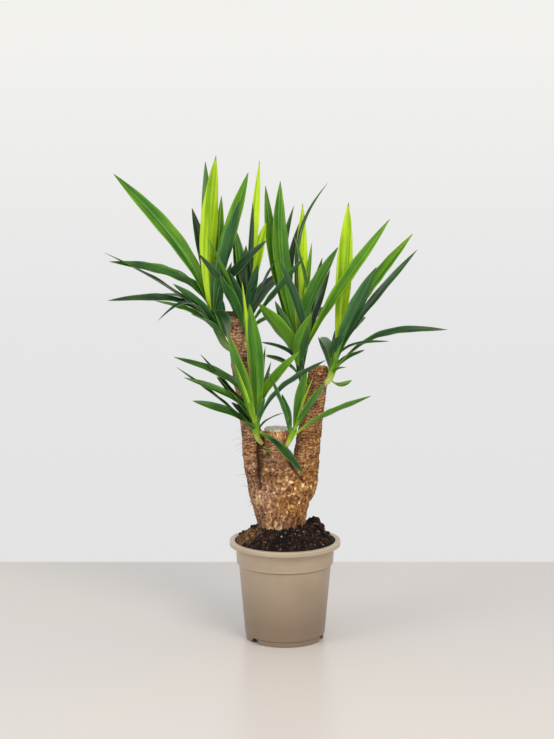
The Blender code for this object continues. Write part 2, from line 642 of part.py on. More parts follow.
def make_core(name, mat):
    """The short stem of a shoot: narrow where it leaves the trunk, thicker half way, blunt at the top."""
    foot, top, foot_radius, top_radius = SHOOTS[name]
    heel = Vector(HEELS[name][:3])
    foot = Vector(foot)
    top = Vector(top)
    first = (foot - heel).normalized()
    along = (top - foot).normalized()
    levels = [
        (heel, first, HEELS[name][3]),
        (foot, first + along, foot_radius),
        ((foot + top) / 2, along, CORE_SWELL * (foot_radius + top_radius) / 2),
        (top, along, top_radius),
        (top + along * top_radius * 0.7, along, top_radius * 0.45),
    ]
    points = []
    for centre, way, radius in levels:
        turn = way.to_track_quat("Z", "Y")
        for k in range(CORE_SIDES):
            bearing = 2 * pi * k / CORE_SIDES
            points.append(centre + turn @ Vector((radius * cos(bearing), radius * sin(bearing), 0)))
    last = len(points) - CORE_SIDES
    faces = [tuple(range(CORE_SIDES - 1, -1, -1)), tuple(range(last, len(points)))]
    for low in range(len(levels) - 1):
        for k in range(CORE_SIDES):
            a = low * CORE_SIDES + k
            b = low * CORE_SIDES + (k + 1) % CORE_SIDES
            faces.append((a, b, b + CORE_SIDES, a + CORE_SIDES))
    return solid(name, points, faces, mat)


def make_shoot(name, mat, trunk):
    """A core with its leaves fused to it, cut clear of the trunk."""
    core = make_core(name, mat)
    blades = [blade(name, row) for row in LEAVES[name] + round_rows(name)]
    boolean(core, blades, "UNION")
    boolean(core, [room_for(trunk)], "DIFFERENCE")
    drop_offcuts(core)
    smooth(core, 40)


def make_cap(trunk):
    """Sealing wax on the stub's cut face, with a run down its right side."""
    x, y = CAP_CENTRE
    wide, deep = CAP_SPAN
    rings = []
    for up, share in CAP_LEVELS:
        rings.append((x, y, CAP_BOTTOM + CAP_THICKNESS * up, wide * share, deep * share))
    cap = tube("wax_cap", rings, CAP_SIDES)
    run = [rod(a[:3], b[:3], a[3], 8) for a, b in zip(CAP_RUN, CAP_RUN[1:])]
    run += [ball(p[:3], p[3]) for p in CAP_RUN]
    boolean(cap, run, "UNION")
    boolean(cap, [room_for(trunk)], "DIFFERENCE")
    cap.data.materials.clear()
    cap.data.materials.append(material("wax", WAX_GREY, 0.45))
    smooth(cap, 40)


def ball(centre, radius):
    """A small round lump at a point in millimetres."""
    work = bmesh.new()
    bmesh.ops.create_icosphere(work, subdivisions=1, radius=radius)
    points = [tuple(v.co + Vector(centre)) for v in work.verts]
    faces = [tuple(v.index for v in f.verts) for f in work.faces]
    work.free()
    return solid("ball", points, faces)


def place_origin():
    """Move every piece alike, so that the origin is under the middle of the whole plant."""
    meshes = [obj.data for obj in bpy.data.objects]
    points = np.array([v.co for mesh in meshes for v in mesh.vertices])
    middle = (points.min(axis=0) + points.max(axis=0)) / 2
    for mesh in meshes:
        for vertex in mesh.vertices:
            vertex.co.x -= middle[0]
            vertex.co.y -= middle[1]


def main():
    clear_scene()
    make_pot()
    trunk = make_trunk()
    make_soil(trunk)
    make_cap(trunk)
    for name in SHOOTS:
        make_shoot(name, material(name + "_green", LEAF_GREEN, 0.4), trunk)
    place_origin()


main()
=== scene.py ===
# %% [markdown]
# # A forked yucca in a nursery pot
# The plant is three woody canes grown from one swollen foot. Tufts of strap leaves sprout near their cut
# tops, and wax seals one cut. It stands in a taupe plastic pot of dark peat soil. The solid shapes come
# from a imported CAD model. This script keeps their places and gives each piece its fine form and finish.

from collections import namedtuple
from functools import partial
from math import atan2, cos, log, pi, radians, sin

import bmesh
import bpy
import numpy as np
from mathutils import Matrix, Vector, noise


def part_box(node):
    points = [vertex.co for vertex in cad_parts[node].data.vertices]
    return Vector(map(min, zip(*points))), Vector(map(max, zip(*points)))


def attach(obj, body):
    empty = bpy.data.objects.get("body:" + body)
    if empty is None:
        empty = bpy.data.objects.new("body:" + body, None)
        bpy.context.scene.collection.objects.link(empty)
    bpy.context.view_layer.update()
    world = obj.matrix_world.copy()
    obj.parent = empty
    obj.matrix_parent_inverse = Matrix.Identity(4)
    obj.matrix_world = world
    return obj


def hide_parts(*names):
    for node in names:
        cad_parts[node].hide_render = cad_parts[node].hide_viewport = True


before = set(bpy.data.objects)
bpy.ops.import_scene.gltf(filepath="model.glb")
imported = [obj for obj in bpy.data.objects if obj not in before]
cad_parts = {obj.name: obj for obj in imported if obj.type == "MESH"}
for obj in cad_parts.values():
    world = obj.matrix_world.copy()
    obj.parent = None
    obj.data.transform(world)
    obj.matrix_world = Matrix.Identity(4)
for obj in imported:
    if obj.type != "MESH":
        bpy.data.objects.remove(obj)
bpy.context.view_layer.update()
print("CAD nodes:", sorted(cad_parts))

# %% [markdown]
# ## Places and units
# Everything below is set out in millimetres from the pot's axis, because that is how a grower would
# measure it. The pot's own box in the model tells where that axis stands, so nothing is fitted by eye.

# %% Millimetres from the pot's axis
MM = 0.001
pot_low, pot_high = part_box("pot")
AXIS = np.array([(pot_low.x + pot_high.x) / 2, (pot_low.y + pot_high.y) / 2, 0.0])
print("pot axis at", AXIS.round(4), "m")


def to_world(points):
    """Turn an array of points in millimetres from the pot's axis into metres in the model's frame."""
    return np.asarray(points, float) * MM + AXIS


# %% [markdown]
# ## Colours
# A colour picker gives sRGB values, but light adds up in linear values. One function turns the one into
# the other, so the colours can be written the way they are seen.

# %% From a hex colour to linear light
def linear(hex_colour):
    """The linear RGBA value of an sRGB colour such as "#a8917a"."""
    parts = [int(hex_colour[i:i + 2], 16) / 255 for i in (1, 3, 5)]
    return (*(p / 12.92 if p <= 0.04045 else ((p + 0.055) / 1.055) ** 2.4 for p in parts), 1.0)


# %% [markdown]
# ## Materials from nodes
# Each finish is a small network of nodes. One helper adds a node, sets its properties and fills its
# sockets, which are named, or given in the node's own order. A map range takes its value, the two ends
# it comes from and the two it goes to. A mix takes its share and two colours. A socket is given a plain
# value, a hex colour, or an earlier node, which is then linked.

# %% The node helpers
def fill(node, inputs):
    """Set a node's sockets, by name or in order. An earlier node stands for its first output."""
    named = inputs if isinstance(inputs, dict) else dict(enumerate(inputs))
    for key, value in named.items():
        if isinstance(value, bpy.types.Node):
            value = value.outputs[0]
        if isinstance(value, bpy.types.NodeSocket):
            node.id_data.links.new(value, node.inputs[key])
        else:
            node.inputs[key].default_value = linear(value) if isinstance(value, str) else value
    return node


def set_stops(ramp, stops):
    """Fill a colour ramp with (place, hex colour) pairs."""
    while len(ramp.elements) < len(stops):
        ramp.elements.new(0.5)
    for element, (place, colour) in zip(ramp.elements, stops):
        element.position = place
        element.color = linear(colour)


def add(owner, kind, inputs=(), stops=(), **settings):
    """Add a node to a material or a world, with its settings, its links and any colour stops."""
    made = owner.node_tree.nodes.new("ShaderNode" + kind)
    for name, value in settings.items():
        setattr(made, name, value)
    if stops:
        set_stops(made.color_ramp, stops)
    return fill(made, inputs)


def new_material(name, constants):
    """A material, its Principled shader with what is the same all over, and the helper bound to it."""
    mat = bpy.data.materials.new(name)
    mat.use_nodes = True
    return mat, fill(mat.node_tree.nodes["Principled BSDF"], constants), partial(add, mat)


def scale(size):
    """The scale of a pattern that repeats after so many millimetres."""
    return 1 / (size * MM)


# %% [markdown]
# ## Meshes from arrays
# The fine pieces are computed as arrays of points. Each point can carry numbers of its own, such as how
# far along a leaf it lies. The materials read these as attributes, so a pattern follows the piece's form
# and not only its place in space.

# %% The mesh helpers
def show(name, data):
    """An object in the scene for a mesh, a light or a camera."""
    obj = bpy.data.objects.new(name, data)
    bpy.context.scene.collection.objects.link(obj)
    return obj


def new_mesh(name, points, faces):
    """A mesh from points in millimetres from the pot's axis."""
    mesh = bpy.data.meshes.new(name)
    mesh.from_pydata(to_world(points).tolist(), [], [tuple(int(i) for i in f) for f in faces])
    return mesh


def piece(name, points, faces, mat, values=None, body="root"):
    """An object from points in millimetres, with named values for each point, riding on its body."""
    mesh = new_mesh(name, points, faces)
    mesh.update()
    for key, numbers in (values or {}).items():
        layer = mesh.attributes.new(key, "FLOAT", "POINT")
        layer.data.foreach_set("value", np.asarray(numbers, np.float32))
    mesh.shade_smooth()
    mesh.materials.append(mat)
    obj = show(name, mesh)
    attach(obj, body)
    return obj


def count_triangles(obj):
    return sum(len(p.vertices) - 2 for p in obj.data.polygons)


def make_real(obj):
    """Keep what an object's modifiers make as its own mesh."""
    evaluated = obj.evaluated_get(bpy.context.evaluated_depsgraph_get())
    mesh = bpy.data.meshes.new_from_object(evaluated)
    obj.modifiers.clear()
    obj.data = mesh


def rebuild(obj, voxel_mm, rounds):
    """Give an object small even faces, and smooth them for some rounds."""
    even = obj.modifiers.new("even", "REMESH")
    even.mode = "VOXEL"
    even.voxel_size = voxel_mm * MM
    calm = obj.modifiers.new("calm", "SMOOTH")
    calm.factor = 0.5
    calm.iterations = rounds
    make_real(obj)


# %% Rings of points
def circle(radius, height, sides):
    """A level ring of points round the pot's axis."""
    around = 2 * pi * np.arange(sides) / sides
    return np.column_stack([radius * np.cos(around), radius * np.sin(around), np.full(sides, height)])


def square_ring(centre, way, radius, sides):
    """A ring of points round a centre, square to a direction."""
    turn = Vector(way).to_track_quat("Z", "Y")
    bearings = 2 * pi * np.arange(sides) / sides
    return [centre + np.array(turn @ Vector((radius * cos(b), radius * sin(b), 0))) for b in bearings]


def ring_faces(first, sides):
    """Faces between the ring of points that starts at number `first` and the ring after it."""
    faces = []
    for k in range(sides):
        after = (k + 1) % sides
        faces.append((first + k, first + after, first + sides + after, first + sides + k))
    return faces


def tube(rings):
    """Points and faces of rings joined in order, with a flat face over each end."""
    sides = len(rings[0])
    points = np.vstack(rings)
    last = len(points) - sides
    faces = [tuple(range(sides - 1, -1, -1)), tuple(range(last, last + sides))]
    for first in range(0, last, sides):
        faces += ring_faces(first, sides)
    return points, faces


def joined(parts):
    """The points and faces of several parts as one."""
    faces = []
    total = 0
    for points, own in parts:
        faces += [tuple(i + total for i in face) for face in own]
        total += len(points)
    return np.vstack([points for points, _ in parts]), faces


def closed_rings(rings, bottom, top):
    """Points and faces of rings joined in order, drawn in to one point at each end."""
    sides = len(rings[0])
    points = np.vstack([[bottom], *rings, [top]])
    last = len(points) - 1
    faces = []
    for k in range(sides):
        after = (k + 1) % sides
        faces += [(0, 1 + after, 1 + k), (last, last - sides + k, last - sides + after)]
    for first in range(1, last - sides, sides):
        faces += ring_faces(first, sides)
    return points, faces


# %% [markdown]
# ## The pot's plastic
# Nursery pots are moulded from polypropylene. The mould leaves a fine grain that spreads the highlights
# into a soft satin, and the taupe pigment clouds a little as it flows. Handling adds dust and small scuffs.

# %% Moulded polypropylene
# Polypropylene has an IOR of about 1.49. The grain of its mould is about 0.6 mm, drawn as 1 mm to show.
MOULD_GRAIN_MM = 1.0
CLOUD_MM = 60.0
RUB_MM = 25.0
SPECK_STEP_MM = 13.0
SPECK_PATCH_MM = 45.0
FOOT_SHADE_FULL_MM = 20
FOOT_SHADE_GONE_MM = 180
LINES_UP_TO_MM = 200
BLACK = "#000000"

plastic, shader, node = new_material("moulded_polypropylene", {"IOR": 1.49, "Specular IOR Level": 0.5})
place = node("TexCoord").outputs["Object"]
cloud = node("TexNoise", {"Vector": place, "Scale": scale(CLOUD_MM), "Detail": 3.0})
taupe = node("ValToRGB", [cloud], stops=[(0.3, "#ae9b84"), (0.5, "#b5a28a"), (0.7, "#bba890")])
# Painted shade darkens the taupe toward the foot.
low = node("SeparateXYZ", [place]).outputs["Z"]
painted_foot_shade = node("MapRange", [low, FOOT_SHADE_FULL_MM * MM, FOOT_SHADE_GONE_MM * MM, 1.1, 0.0])
foot_shaded = node("MixRGB", [painted_foot_shade, taupe, "#877460"])
speck = node("TexVoronoi", {"Vector": place, "Scale": scale(SPECK_STEP_MM)}, feature="F1")
near_speck = node("MapRange", [speck, 0.05, 0.09, 0.75, 0.0])
some = node("TexNoise", {"Vector": place, "Scale": scale(SPECK_PATCH_MM), "Detail": 1.0})
few = node("MapRange", [some, 0.56, 0.66])
dirt = node("Math", [near_speck, few], operation="MULTIPLY")
dusty = node("MixRGB", [dirt, foot_shaded, "#4d3a2c"])
# Painted shade lies in thin lines under the lip and the ledge, and over the foot ring. Painted highlights
# lighten the top edges of the ledge and the lip.
height_share = node("MapRange", [low, 0.0, LINES_UP_TO_MM * MM])
painted_shade_lines = node("ValToRGB", [height_share], stops=[
    (0.0, "#c0c0c0"), (0.009, BLACK), (0.046, BLACK), (0.053, "#b0b0b0"), (0.06, BLACK), (0.718, BLACK),
    (0.728, "#b8b8b8"), (0.737, BLACK), (0.893, BLACK), (0.902, "#dadada"), (0.908, BLACK)])
# Painted highlights on the ledge's top edge and on the top of the lip.
painted_edge_highlight = node("ValToRGB", [height_share], stops=[
    (0.0, BLACK), (0.738, BLACK), (0.744, "#8c8c8c"), (0.752, BLACK), (0.936, BLACK), (0.945, "#909090"),
    (1.0, "#909090")])
line_shaded = node("MixRGB", [painted_shade_lines, dusty, "#3f2f22"])
edge_highlighted = node("MixRGB", [painted_edge_highlight, line_shaded, "#dccdb6"])
rub = node("TexNoise", {"Vector": place, "Scale": scale(RUB_MM), "Detail": 5.0, "Roughness": 0.7})
satin = node("MapRange", [rub, 0.3, 0.7, 0.3, 0.46])
grain = node("TexNoise", {"Vector": place, "Scale": scale(MOULD_GRAIN_MM), "Detail": 2.0})
bump = node("Bump", {"Height": grain, "Strength": 0.12, "Distance": 0.1 * MM})
fill(shader, {"Base Color": edge_highlighted, "Roughness": satin, "Normal": bump})
print("made", plastic.name)

# %% [markdown]
# ## The pot
# The pot is one moulding: a foot ring with notches for drainage, a tapered wall, a ledge, a wider band
# and a rolled lip. A turned profile gives all of it at once. The CAD profile has sharp corners, so here
# each corner is eased with a short curve, and many more sides make the lip run round without facets.

# %% The pot's profile
LIP_RADIUS = 105.0
LIP_TOP = 190.0
LIP_DEPTH = 9.0
MOUTH_RADIUS = 95.0
BAND_TOP_RADIUS = 93.3
BAND_BOTTOM_RADIUS = 91.4
LEDGE_HEIGHT = 147.0
WALL_TOP_RADIUS = 87.4
WALL_BOTTOM_RADIUS = 75.8
STEP_HEIGHT = 11.0
FOOT_RADIUS = 73.6
WALL = 1.8
FLOOR_TOP = 12.0
NOTCH_RADIUS = 11.0
NOTCH_BEARINGS = (100, 220, 340)
DRAIN_RADIUS = 4.5
DRAIN_RING = 46.0
DRAIN_COUNT = 6
POT_SIDES = 144

under = LIP_TOP - LIP_DEPTH
ceiling = LIP_TOP - WALL - 0.4
POT_PROFILE = [
    (0, FLOOR_TOP - WALL), (FOOT_RADIUS - 3.6, FLOOR_TOP - WALL), (FOOT_RADIUS - 3, 0), (FOOT_RADIUS, 0),
    (FOOT_RADIUS + 0.4, STEP_HEIGHT - 1.8), (WALL_BOTTOM_RADIUS, STEP_HEIGHT - 0.6),
    (WALL_TOP_RADIUS, LEDGE_HEIGHT - 2), (BAND_BOTTOM_RADIUS, LEDGE_HEIGHT - 0.4),
    (BAND_TOP_RADIUS, under - 1), (MOUTH_RADIUS + WALL - 0.4, under + 3),
    (MOUTH_RADIUS + WALL, ceiling), (LIP_RADIUS - WALL - 0.2, ceiling), (LIP_RADIUS - WALL, under),
    (LIP_RADIUS, under), (LIP_RADIUS, LIP_TOP), (MOUTH_RADIUS + 0.3, LIP_TOP),
    (MOUTH_RADIUS, under + 4.4), (BAND_TOP_RADIUS - WALL - 0.1, under - 2),
    (BAND_BOTTOM_RADIUS - WALL, LEDGE_HEIGHT + 2.4), (WALL_TOP_RADIUS - WALL, LEDGE_HEIGHT - 1.2),
    (WALL_BOTTOM_RADIUS - WALL, FLOOR_TOP), (0, FLOOR_TOP),
]


def eased(profile, reach, steps=3):
    """Round each inner corner of a profile with a short curve that starts at most `reach` before it."""
    path = [np.array(p, float) for p in profile]
    smooth = [path[0]]
    for before, corner, after in zip(path, path[1:], path[2:]):
        back = before - corner
        ahead = after - corner
        cut = min(reach, 0.42 * np.linalg.norm(back), 0.42 * np.linalg.norm(ahead))
        start = corner + back / np.linalg.norm(back) * cut
        end = corner + ahead / np.linalg.norm(ahead) * cut
        for k in range(steps + 1):
            t = k / steps
            smooth.append(start * (1 - t) ** 2 + corner * 2 * t * (1 - t) + end * t ** 2)
    smooth.append(path[-1])
    return smooth


def turned(profile, sides):
    """Points and faces of a profile of (radius, height) turned about Z, closed at both ends on the axis."""
    rings = [circle(radius, height, sides) for radius, height in profile[1:-1]]
    return closed_rings(rings, (0, 0, profile[0][1]), (0, 0, profile[-1][1]))


# %% Turn the pot and cut its notches
NOTCH_REACH = 12
NOTCH_SIDES = 48
DRAIN_SIDES = 32
DRAIN_BELOW = (0, 0, 6)
DRAIN_ABOVE = (0, 0, 4)
CORNER_REACH = 1.1
SHARP_ANGLE = 40


def bar(start, end, radius, sides):
    """A straight round cutter between two points in millimetres."""
    rings = [square_ring(point, end - start, radius, sides) for point in (start, end)]
    return bpy.data.objects.new("cutter", new_mesh("cutter", *tube(rings)))


def cut(obj, cutters):
    """Cut objects out of a piece, and remove them."""
    group = bpy.data.collections.new("cutters")
    bpy.context.scene.collection.children.link(group)
    for cutter in cutters:
        group.objects.link(cutter)
    change = obj.modifiers.new("cut", "BOOLEAN")
    change.operand_type = "COLLECTION"
    change.collection = group
    change.solver = "EXACT"
    make_real(obj)
    for cutter in cutters:
        bpy.data.objects.remove(cutter, do_unlink=True)
    bpy.data.collections.remove(group)


pot = piece("nursery_pot", *turned(eased(POT_PROFILE, CORNER_REACH), POT_SIDES), plastic)
cutters = []
for bearing in NOTCH_BEARINGS:
    way = np.array([cos(radians(bearing)), sin(radians(bearing)), 0])
    inside = way * (FOOT_RADIUS - NOTCH_REACH)
    cutters.append(bar(inside, way * (FOOT_RADIUS + NOTCH_REACH), NOTCH_RADIUS, NOTCH_SIDES))
for k in range(DRAIN_COUNT):
    bearing = 2 * pi * (k + 0.5) / DRAIN_COUNT
    spot = np.array([DRAIN_RING * cos(bearing), DRAIN_RING * sin(bearing), FLOOR_TOP])
    cutters.append(bar(spot - DRAIN_BELOW, spot + DRAIN_ABOVE, DRAIN_RADIUS, DRAIN_SIDES))
cut(pot, cutters)
pot.data.set_sharp_from_angle(angle=radians(SHARP_ANGLE))
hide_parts("pot")
print("pot:", count_triangles(pot), "triangles")

# %% [markdown]
# ## Peat soil
# Potting soil is peat, bark crumbs and coir: nearly black where it is moist, brown and fibrous where it
# has dried, with white grains of perlite. It is rough at every size. A surface with lumps of its own
# carries the mass of it, and loose crumbs on top break its outline as real ones do.

# %% Peat, perlite and coir
# Peat crumbs are 2 to 8 mm across. They take in nearly all light, so roughness is close to 1.
MOTTLE_MM = 3.5
PORE_MM = 0.8

peat, shader, node = new_material("moist_peat", {"Roughness": 0.93, "Specular IOR Level": 0.25})
place = node("TexCoord").outputs["Object"]
lift = node("Attribute", attribute_name="lift").outputs["Fac"]
dry = node("Attribute", attribute_name="dry").outputs["Fac"]
mottle = node("TexNoise", {"Vector": place, "Scale": scale(MOTTLE_MM), "Detail": 5.0, "Roughness": 0.75})
both = node("Math", [mottle, lift], operation="ADD")
moist = node("ValToRGB", [both], stops=[
    (0.35, "#060403"), (0.72, "#0f0906"), (0.9, "#4b3223"), (1.0, "#9a7350")])
coir = node("ValToRGB", [both], stops=[(0.4, "#1d110a"), (0.7, "#6a452b"), (1.0, "#b98d64")])
mixed = node("MixRGB", [dry, moist, coir])
bump = node("Bump", {"Height": mottle, "Strength": 0.7, "Distance": 0.6 * MM})
fill(shader, {"Base Color": mixed, "Normal": bump})

# Perlite is puffed volcanic glass: white, dull, with fine pores.
perlite, shader, node = new_material("perlite", {"Roughness": 0.85})
place = node("TexCoord").outputs["Object"]
pores = node("TexNoise", {"Vector": place, "Scale": scale(PORE_MM), "Detail": 2.0})
white = node("ValToRGB", [pores], stops=[(0.35, "#a59d92"), (0.6, "#d8d2c8")])
fill(shader, {"Base Color": white})
print("made", peat.name, "and", perlite.name)

# %% [markdown]
# The soil is heaped to the cane's foot, with a loose mound at the right. The same rule as in the solid
# gives that slow shape, and layers of noise add crumbs from 8 mm down to 2 mm.

# %% The soil's surface
SOIL_EDGE_HEIGHT = 186.5
SOIL_RISE = 33.0
SOIL_HOLE_RADIUS = 46.0
SOIL_LUMP_HEIGHT = 2.2
SOIL_LUMP_SIZE = 13.0
MOUND = (59, 12, 12, 10)
DRY_PATCH = (-72, -22, 26)
# Size across, height and pattern number of the three sizes of crumb
CRUMB_SIZES = ((8.0, 2.4, 1.7), (4.2, 1.5, 5.3), (2.1, 0.8, 9.9))
SOIL_SIDES = 320
SOIL_RINGS = 120


def lumps(p, across, up, shift=0.0):
    """Noise at a point in millimetres, with lumps so far across and so far up."""
    return noise.noise(Vector((p[0] / across, p[1] / across, p[2] / up + shift)))


def soil_height(x, y):
    """The slow shape of the soil, as in the solid."""
    reach = (np.hypot(x, y) - SOIL_HOLE_RADIUS) / (MOUTH_RADIUS - SOIL_HOLE_RADIUS)
    heap = SOIL_RISE * (1 - min(1.0, max(0.0, reach))) ** 0.8
    mound_x, mound_y, mound_height, mound_size = MOUND
    away = ((x - mound_x) ** 2 + (y - mound_y) ** 2) / (2 * mound_size ** 2)
    rough = SOIL_LUMP_HEIGHT * lumps((x, y, 0), SOIL_LUMP_SIZE, 1, 3.1)
    calm_rim = min(1.0, max(0.0, 1 - reach) * 4)
    return SOIL_EDGE_HEIGHT + heap + mound_height * np.exp(-away) + rough * calm_rim


def crumb_relief(x, y):
    """Fine lumps on the soil in millimetres: rounded crumbs in three sizes."""
    total = 0.0
    for size, height, seed in CRUMB_SIZES:
        near = noise.voronoi(Vector((x / size, y / size, seed)))[0][0]
        total += height * max(0.0, 0.75 - near)
    return total


def dryness(x, y):
    """1 in the dried fibrous patch at the left of the soil, 0 where it is moist."""
    patch_x, patch_y, patch_size = DRY_PATCH
    near = np.exp(-((x - patch_x) ** 2 + (y - patch_y) ** 2) / (2 * patch_size ** 2))
    return float(np.clip(near * 1.2 - 0.4 + 0.9 * lumps((x, y, 0), 9, 1, 8.0), 0, 1))


# %% Build the soil
SOIL_GAP = 0.9
HIDDEN_LIFT = 0.2
RELIEF_SINK = 1.0

soil_edge = MOUTH_RADIUS - SOIL_GAP
wall_rings = [
    (WALL_BOTTOM_RADIUS - WALL - 4, FLOOR_TOP + 0.3), (WALL_TOP_RADIUS - WALL - 0.8, LEDGE_HEIGHT - 0.8),
    (BAND_BOTTOM_RADIUS - WALL - 0.8, LEDGE_HEIGHT + 3.4), (BAND_TOP_RADIUS - WALL - 0.9, under - 2),
]
rings = [circle(radius, height, SOIL_SIDES) for radius, height in wall_rings]
lift = [HIDDEN_LIFT] * (1 + len(rings) * SOIL_SIDES)
dry = [0.0] * len(lift)
for number in range(SOIL_RINGS):
    ring = circle(soil_edge * (1 - number / SOIL_RINGS), 0, SOIL_SIDES)
    for spot in ring:
        relief = crumb_relief(*spot[:2]) * min(1.0, 0.35 + number / 6)
        spot[2] = soil_height(*spot[:2]) + relief - RELIEF_SINK
        lift.append(0.02 + 0.16 * relief)
        dry.append(dryness(*spot[:2]))
    rings.append(ring)
points, faces = closed_rings(rings, (0, 0, FLOOR_TOP + 0.3), (0, 0, soil_height(0, 0)))
soil = piece("peat_soil", points, faces, peat, {"lift": lift + [HIDDEN_LIFT], "dry": dry + [0.0]})
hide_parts("potting_soil")
print("soil:", count_triangles(soil), "triangles")

# %% [markdown]
# Loose crumbs are lumpy balls with 80 faces each. They are scattered with a seeded random
# generator, so every run gives the same soil. More of them, and larger ones, lie on the mound.

# %% Crumbs and perlite
MANY_SMALL = 2.2
SEED_STEP = 3.7
HIDDEN_RADIUS = 38
EDGE_CLEARANCE = 4
rng = np.random.default_rng(11)


def ball_template(cuts):
    """Points and faces of a unit ball of triangles."""
    work = bmesh.new()
    bmesh.ops.create_icosphere(work, subdivisions=cuts, radius=1)
    points = np.array([tuple(v.co) for v in work.verts])
    faces = np.array([[v.index for v in f.verts] for f in work.faces])
    work.free()
    return points, faces


BALL_POINTS, BALL_FACES = ball_template(cuts=2)


def lumpy_ball(centre, radius, seed, rough=0.35):
    """A crumb: a ball pushed in and out by noise, flattened and turned at random."""
    push = np.array([noise.noise(Vector(p) * 1.6 + Vector((seed, 0, 0))) for p in BALL_POINTS])
    shape = BALL_POINTS * (1 + rough * push)[:, None] * rng.uniform(0.65, 1.15, 3)
    angle = rng.uniform(0, 2 * pi)
    turn = np.array([[cos(angle), -sin(angle), 0], [sin(angle), cos(angle), 0], [0, 0, 1]])
    return shape @ turn.T * radius + centre


def soil_spot():
    """A random place on the shown ring of soil."""
    while True:
        x, y = rng.uniform(-soil_edge, soil_edge, 2)
        if HIDDEN_RADIUS < np.hypot(x, y) < soil_edge - EDGE_CLEARANCE:
            return x, y


def scatter(name, count, low, high, mat, spot, sink=0.35, lift_low=0.1, lift_high=0.4):
    """Crumbs of random size on the soil, as one piece."""
    parts = []
    lift = []
    dry = []
    for i in range(count):
        x, y = spot()
        radius = low + (high - low) * rng.random() ** MANY_SMALL
        height = soil_height(x, y) + crumb_relief(x, y) - RELIEF_SINK + radius * (1 - 2 * sink)
        parts.append((lumpy_ball(np.array([x, y, height]), radius, i * SEED_STEP), BALL_FACES))
        lift.append(rng.uniform(lift_low, lift_high))
        dry.append(dryness(x, y))
    values = {"lift": np.repeat(lift, len(BALL_POINTS)), "dry": np.repeat(dry, len(BALL_POINTS))}
    made = piece(name, *joined(parts), mat, values)
    print(name + ":", count, "crumbs,", count_triangles(made), "triangles")
    return made


def mound_spot():
    """A random place on the mound."""
    x, y = rng.normal(0, 0.75 * MOUND[3], 2)
    return MOUND[0] + x, MOUND[1] + y


crumbs = scatter("soil_crumbs", 420, 1.2, 4.6, peat, soil_spot)
mound_crumbs = scatter("mound_crumbs", 110, 1.6, 5.2, peat, mound_spot, 0.2, 0.12, 0.45)
grains = scatter("perlite_grains", 26, 0.8, 1.9, perlite, soil_spot, 0.3)

# %% [markdown]
# ## Cane bark
# Old yucca cane has a corky skin. It cracks into small warty plates, the leaf scars ring the younger
# stems, and worn plates show golden cork over dark brown cracks. That relief is real here: the solid's
# surface is rebuilt with small even faces and pushed in and out. The same heights colour it. Painted warm
# light makes the cork more golden toward the lower right, and painted shade darkens its folds.

# %% Cork bark
# Cork plates are 4 to 7 mm across, with cracks of 0.5 to 1.5 mm. Dry cork is matt and scatters light.
GRAIN_MM = 2.4
WOOD_FIBRE_MM = 2.0

bark, shader, node = new_material("cork_bark", {"Roughness": 0.86, "Specular IOR Level": 0.3})
place = node("TexCoord").outputs["Object"]
relief, gold_and_warm_light, shade_and_dark_end, bare = (
    node("Attribute", attribute_name=name).outputs["Fac"]
    for name in ("relief", "gold_and_warm_light", "shade_and_dark_end", "bare"))
fine = node("TexNoise", {"Vector": place, "Scale": scale(GRAIN_MM), "Detail": 6.0, "Roughness": 0.72})
fine_part = node("MapRange", [fine, 0.25, 0.75, -0.24, 0.24])
height = node("Math", [relief, fine_part], operation="ADD")
brown = node("ValToRGB", [height], stops=[
    (0.1, "#24120b"), (0.3, "#5f3d2a"), (0.5, "#946c4f"), (0.72, "#c9a178"), (1.0, "#f2dfbf")])
gold = node("ValToRGB", [height], stops=[
    (0.1, "#2c160a"), (0.3, "#673c1d"), (0.5, "#966636"), (0.72, "#cb9b56"), (1.0, "#fce8b4")])
# The gold mix is partly random golden patches and partly painted warm light from the right.
skin = node("MixRGB", [gold_and_warm_light, brown, gold])
# Under the wax the skin has peeled to orange-tan wood, with fibres that run up the cane.
upright = node("Mapping", {"Vector": place, "Scale": (1.0, 1.0, 0.2)})
fibres = node("TexNoise", {"Vector": upright, "Scale": scale(WOOD_FIBRE_MM), "Detail": 3.0})
wood = node("ValToRGB", [fibres], stops=[
    (0.3, "#5e3019"), (0.44, "#b4703f"), (0.56, "#dda870"), (0.7, "#fcf0dc")])
peeled = node("MixRGB", [bare, skin, wood])
# Painted shade darkens folds and clefts. The same mix darkens the dried cut end, which is its own colour.
shade = node("MixRGB", [shade_and_dark_end, peeled, "#2a1a14"])
bump = node("Bump", {"Height": fine, "Strength": 0.65, "Distance": 0.5 * MM})
fill(shader, {"Base Color": shade, "Normal": bump})
print("made", bark.name)

# %% Rebuild the cane with small even faces
BARK_VOXEL_MM = 1.6

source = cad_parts["trunk"]
cane = show("cane", source.data.copy())
rebuild(cane, BARK_VOXEL_MM, 8)
print("cane:", count_triangles(cane), "triangles")

# %% [markdown]
# Each point is pushed along its normal by a sum of forms: cork plates with cracks between them, slow
# knobs, rings of leaf scars on the stems, and lengthwise splits. What lies in a fold of the cane is
# found by comparing each point with a much smoother copy, and it gets painted shade. Two deep clefts,
# where the stems have grown together, are listed: they are sunk and get painted shade too.

# %% Cork plates, scars and splits
STEM_FOOT = 320.0
STEM_BLEND = 60
RING_STEP = 5.4
PLATE_MM = 6.4
CORK_CRUMB_MM = 3.1
PATCH_MM = 24
SPECKLE_MM = 5.5


def in_cell(x, y, z):
    """How far inside its cell of a cracked pattern a point lies, 0 on a crack."""
    near = noise.voronoi(Vector((x, y, z)))[0]
    return near[1] - near[0]


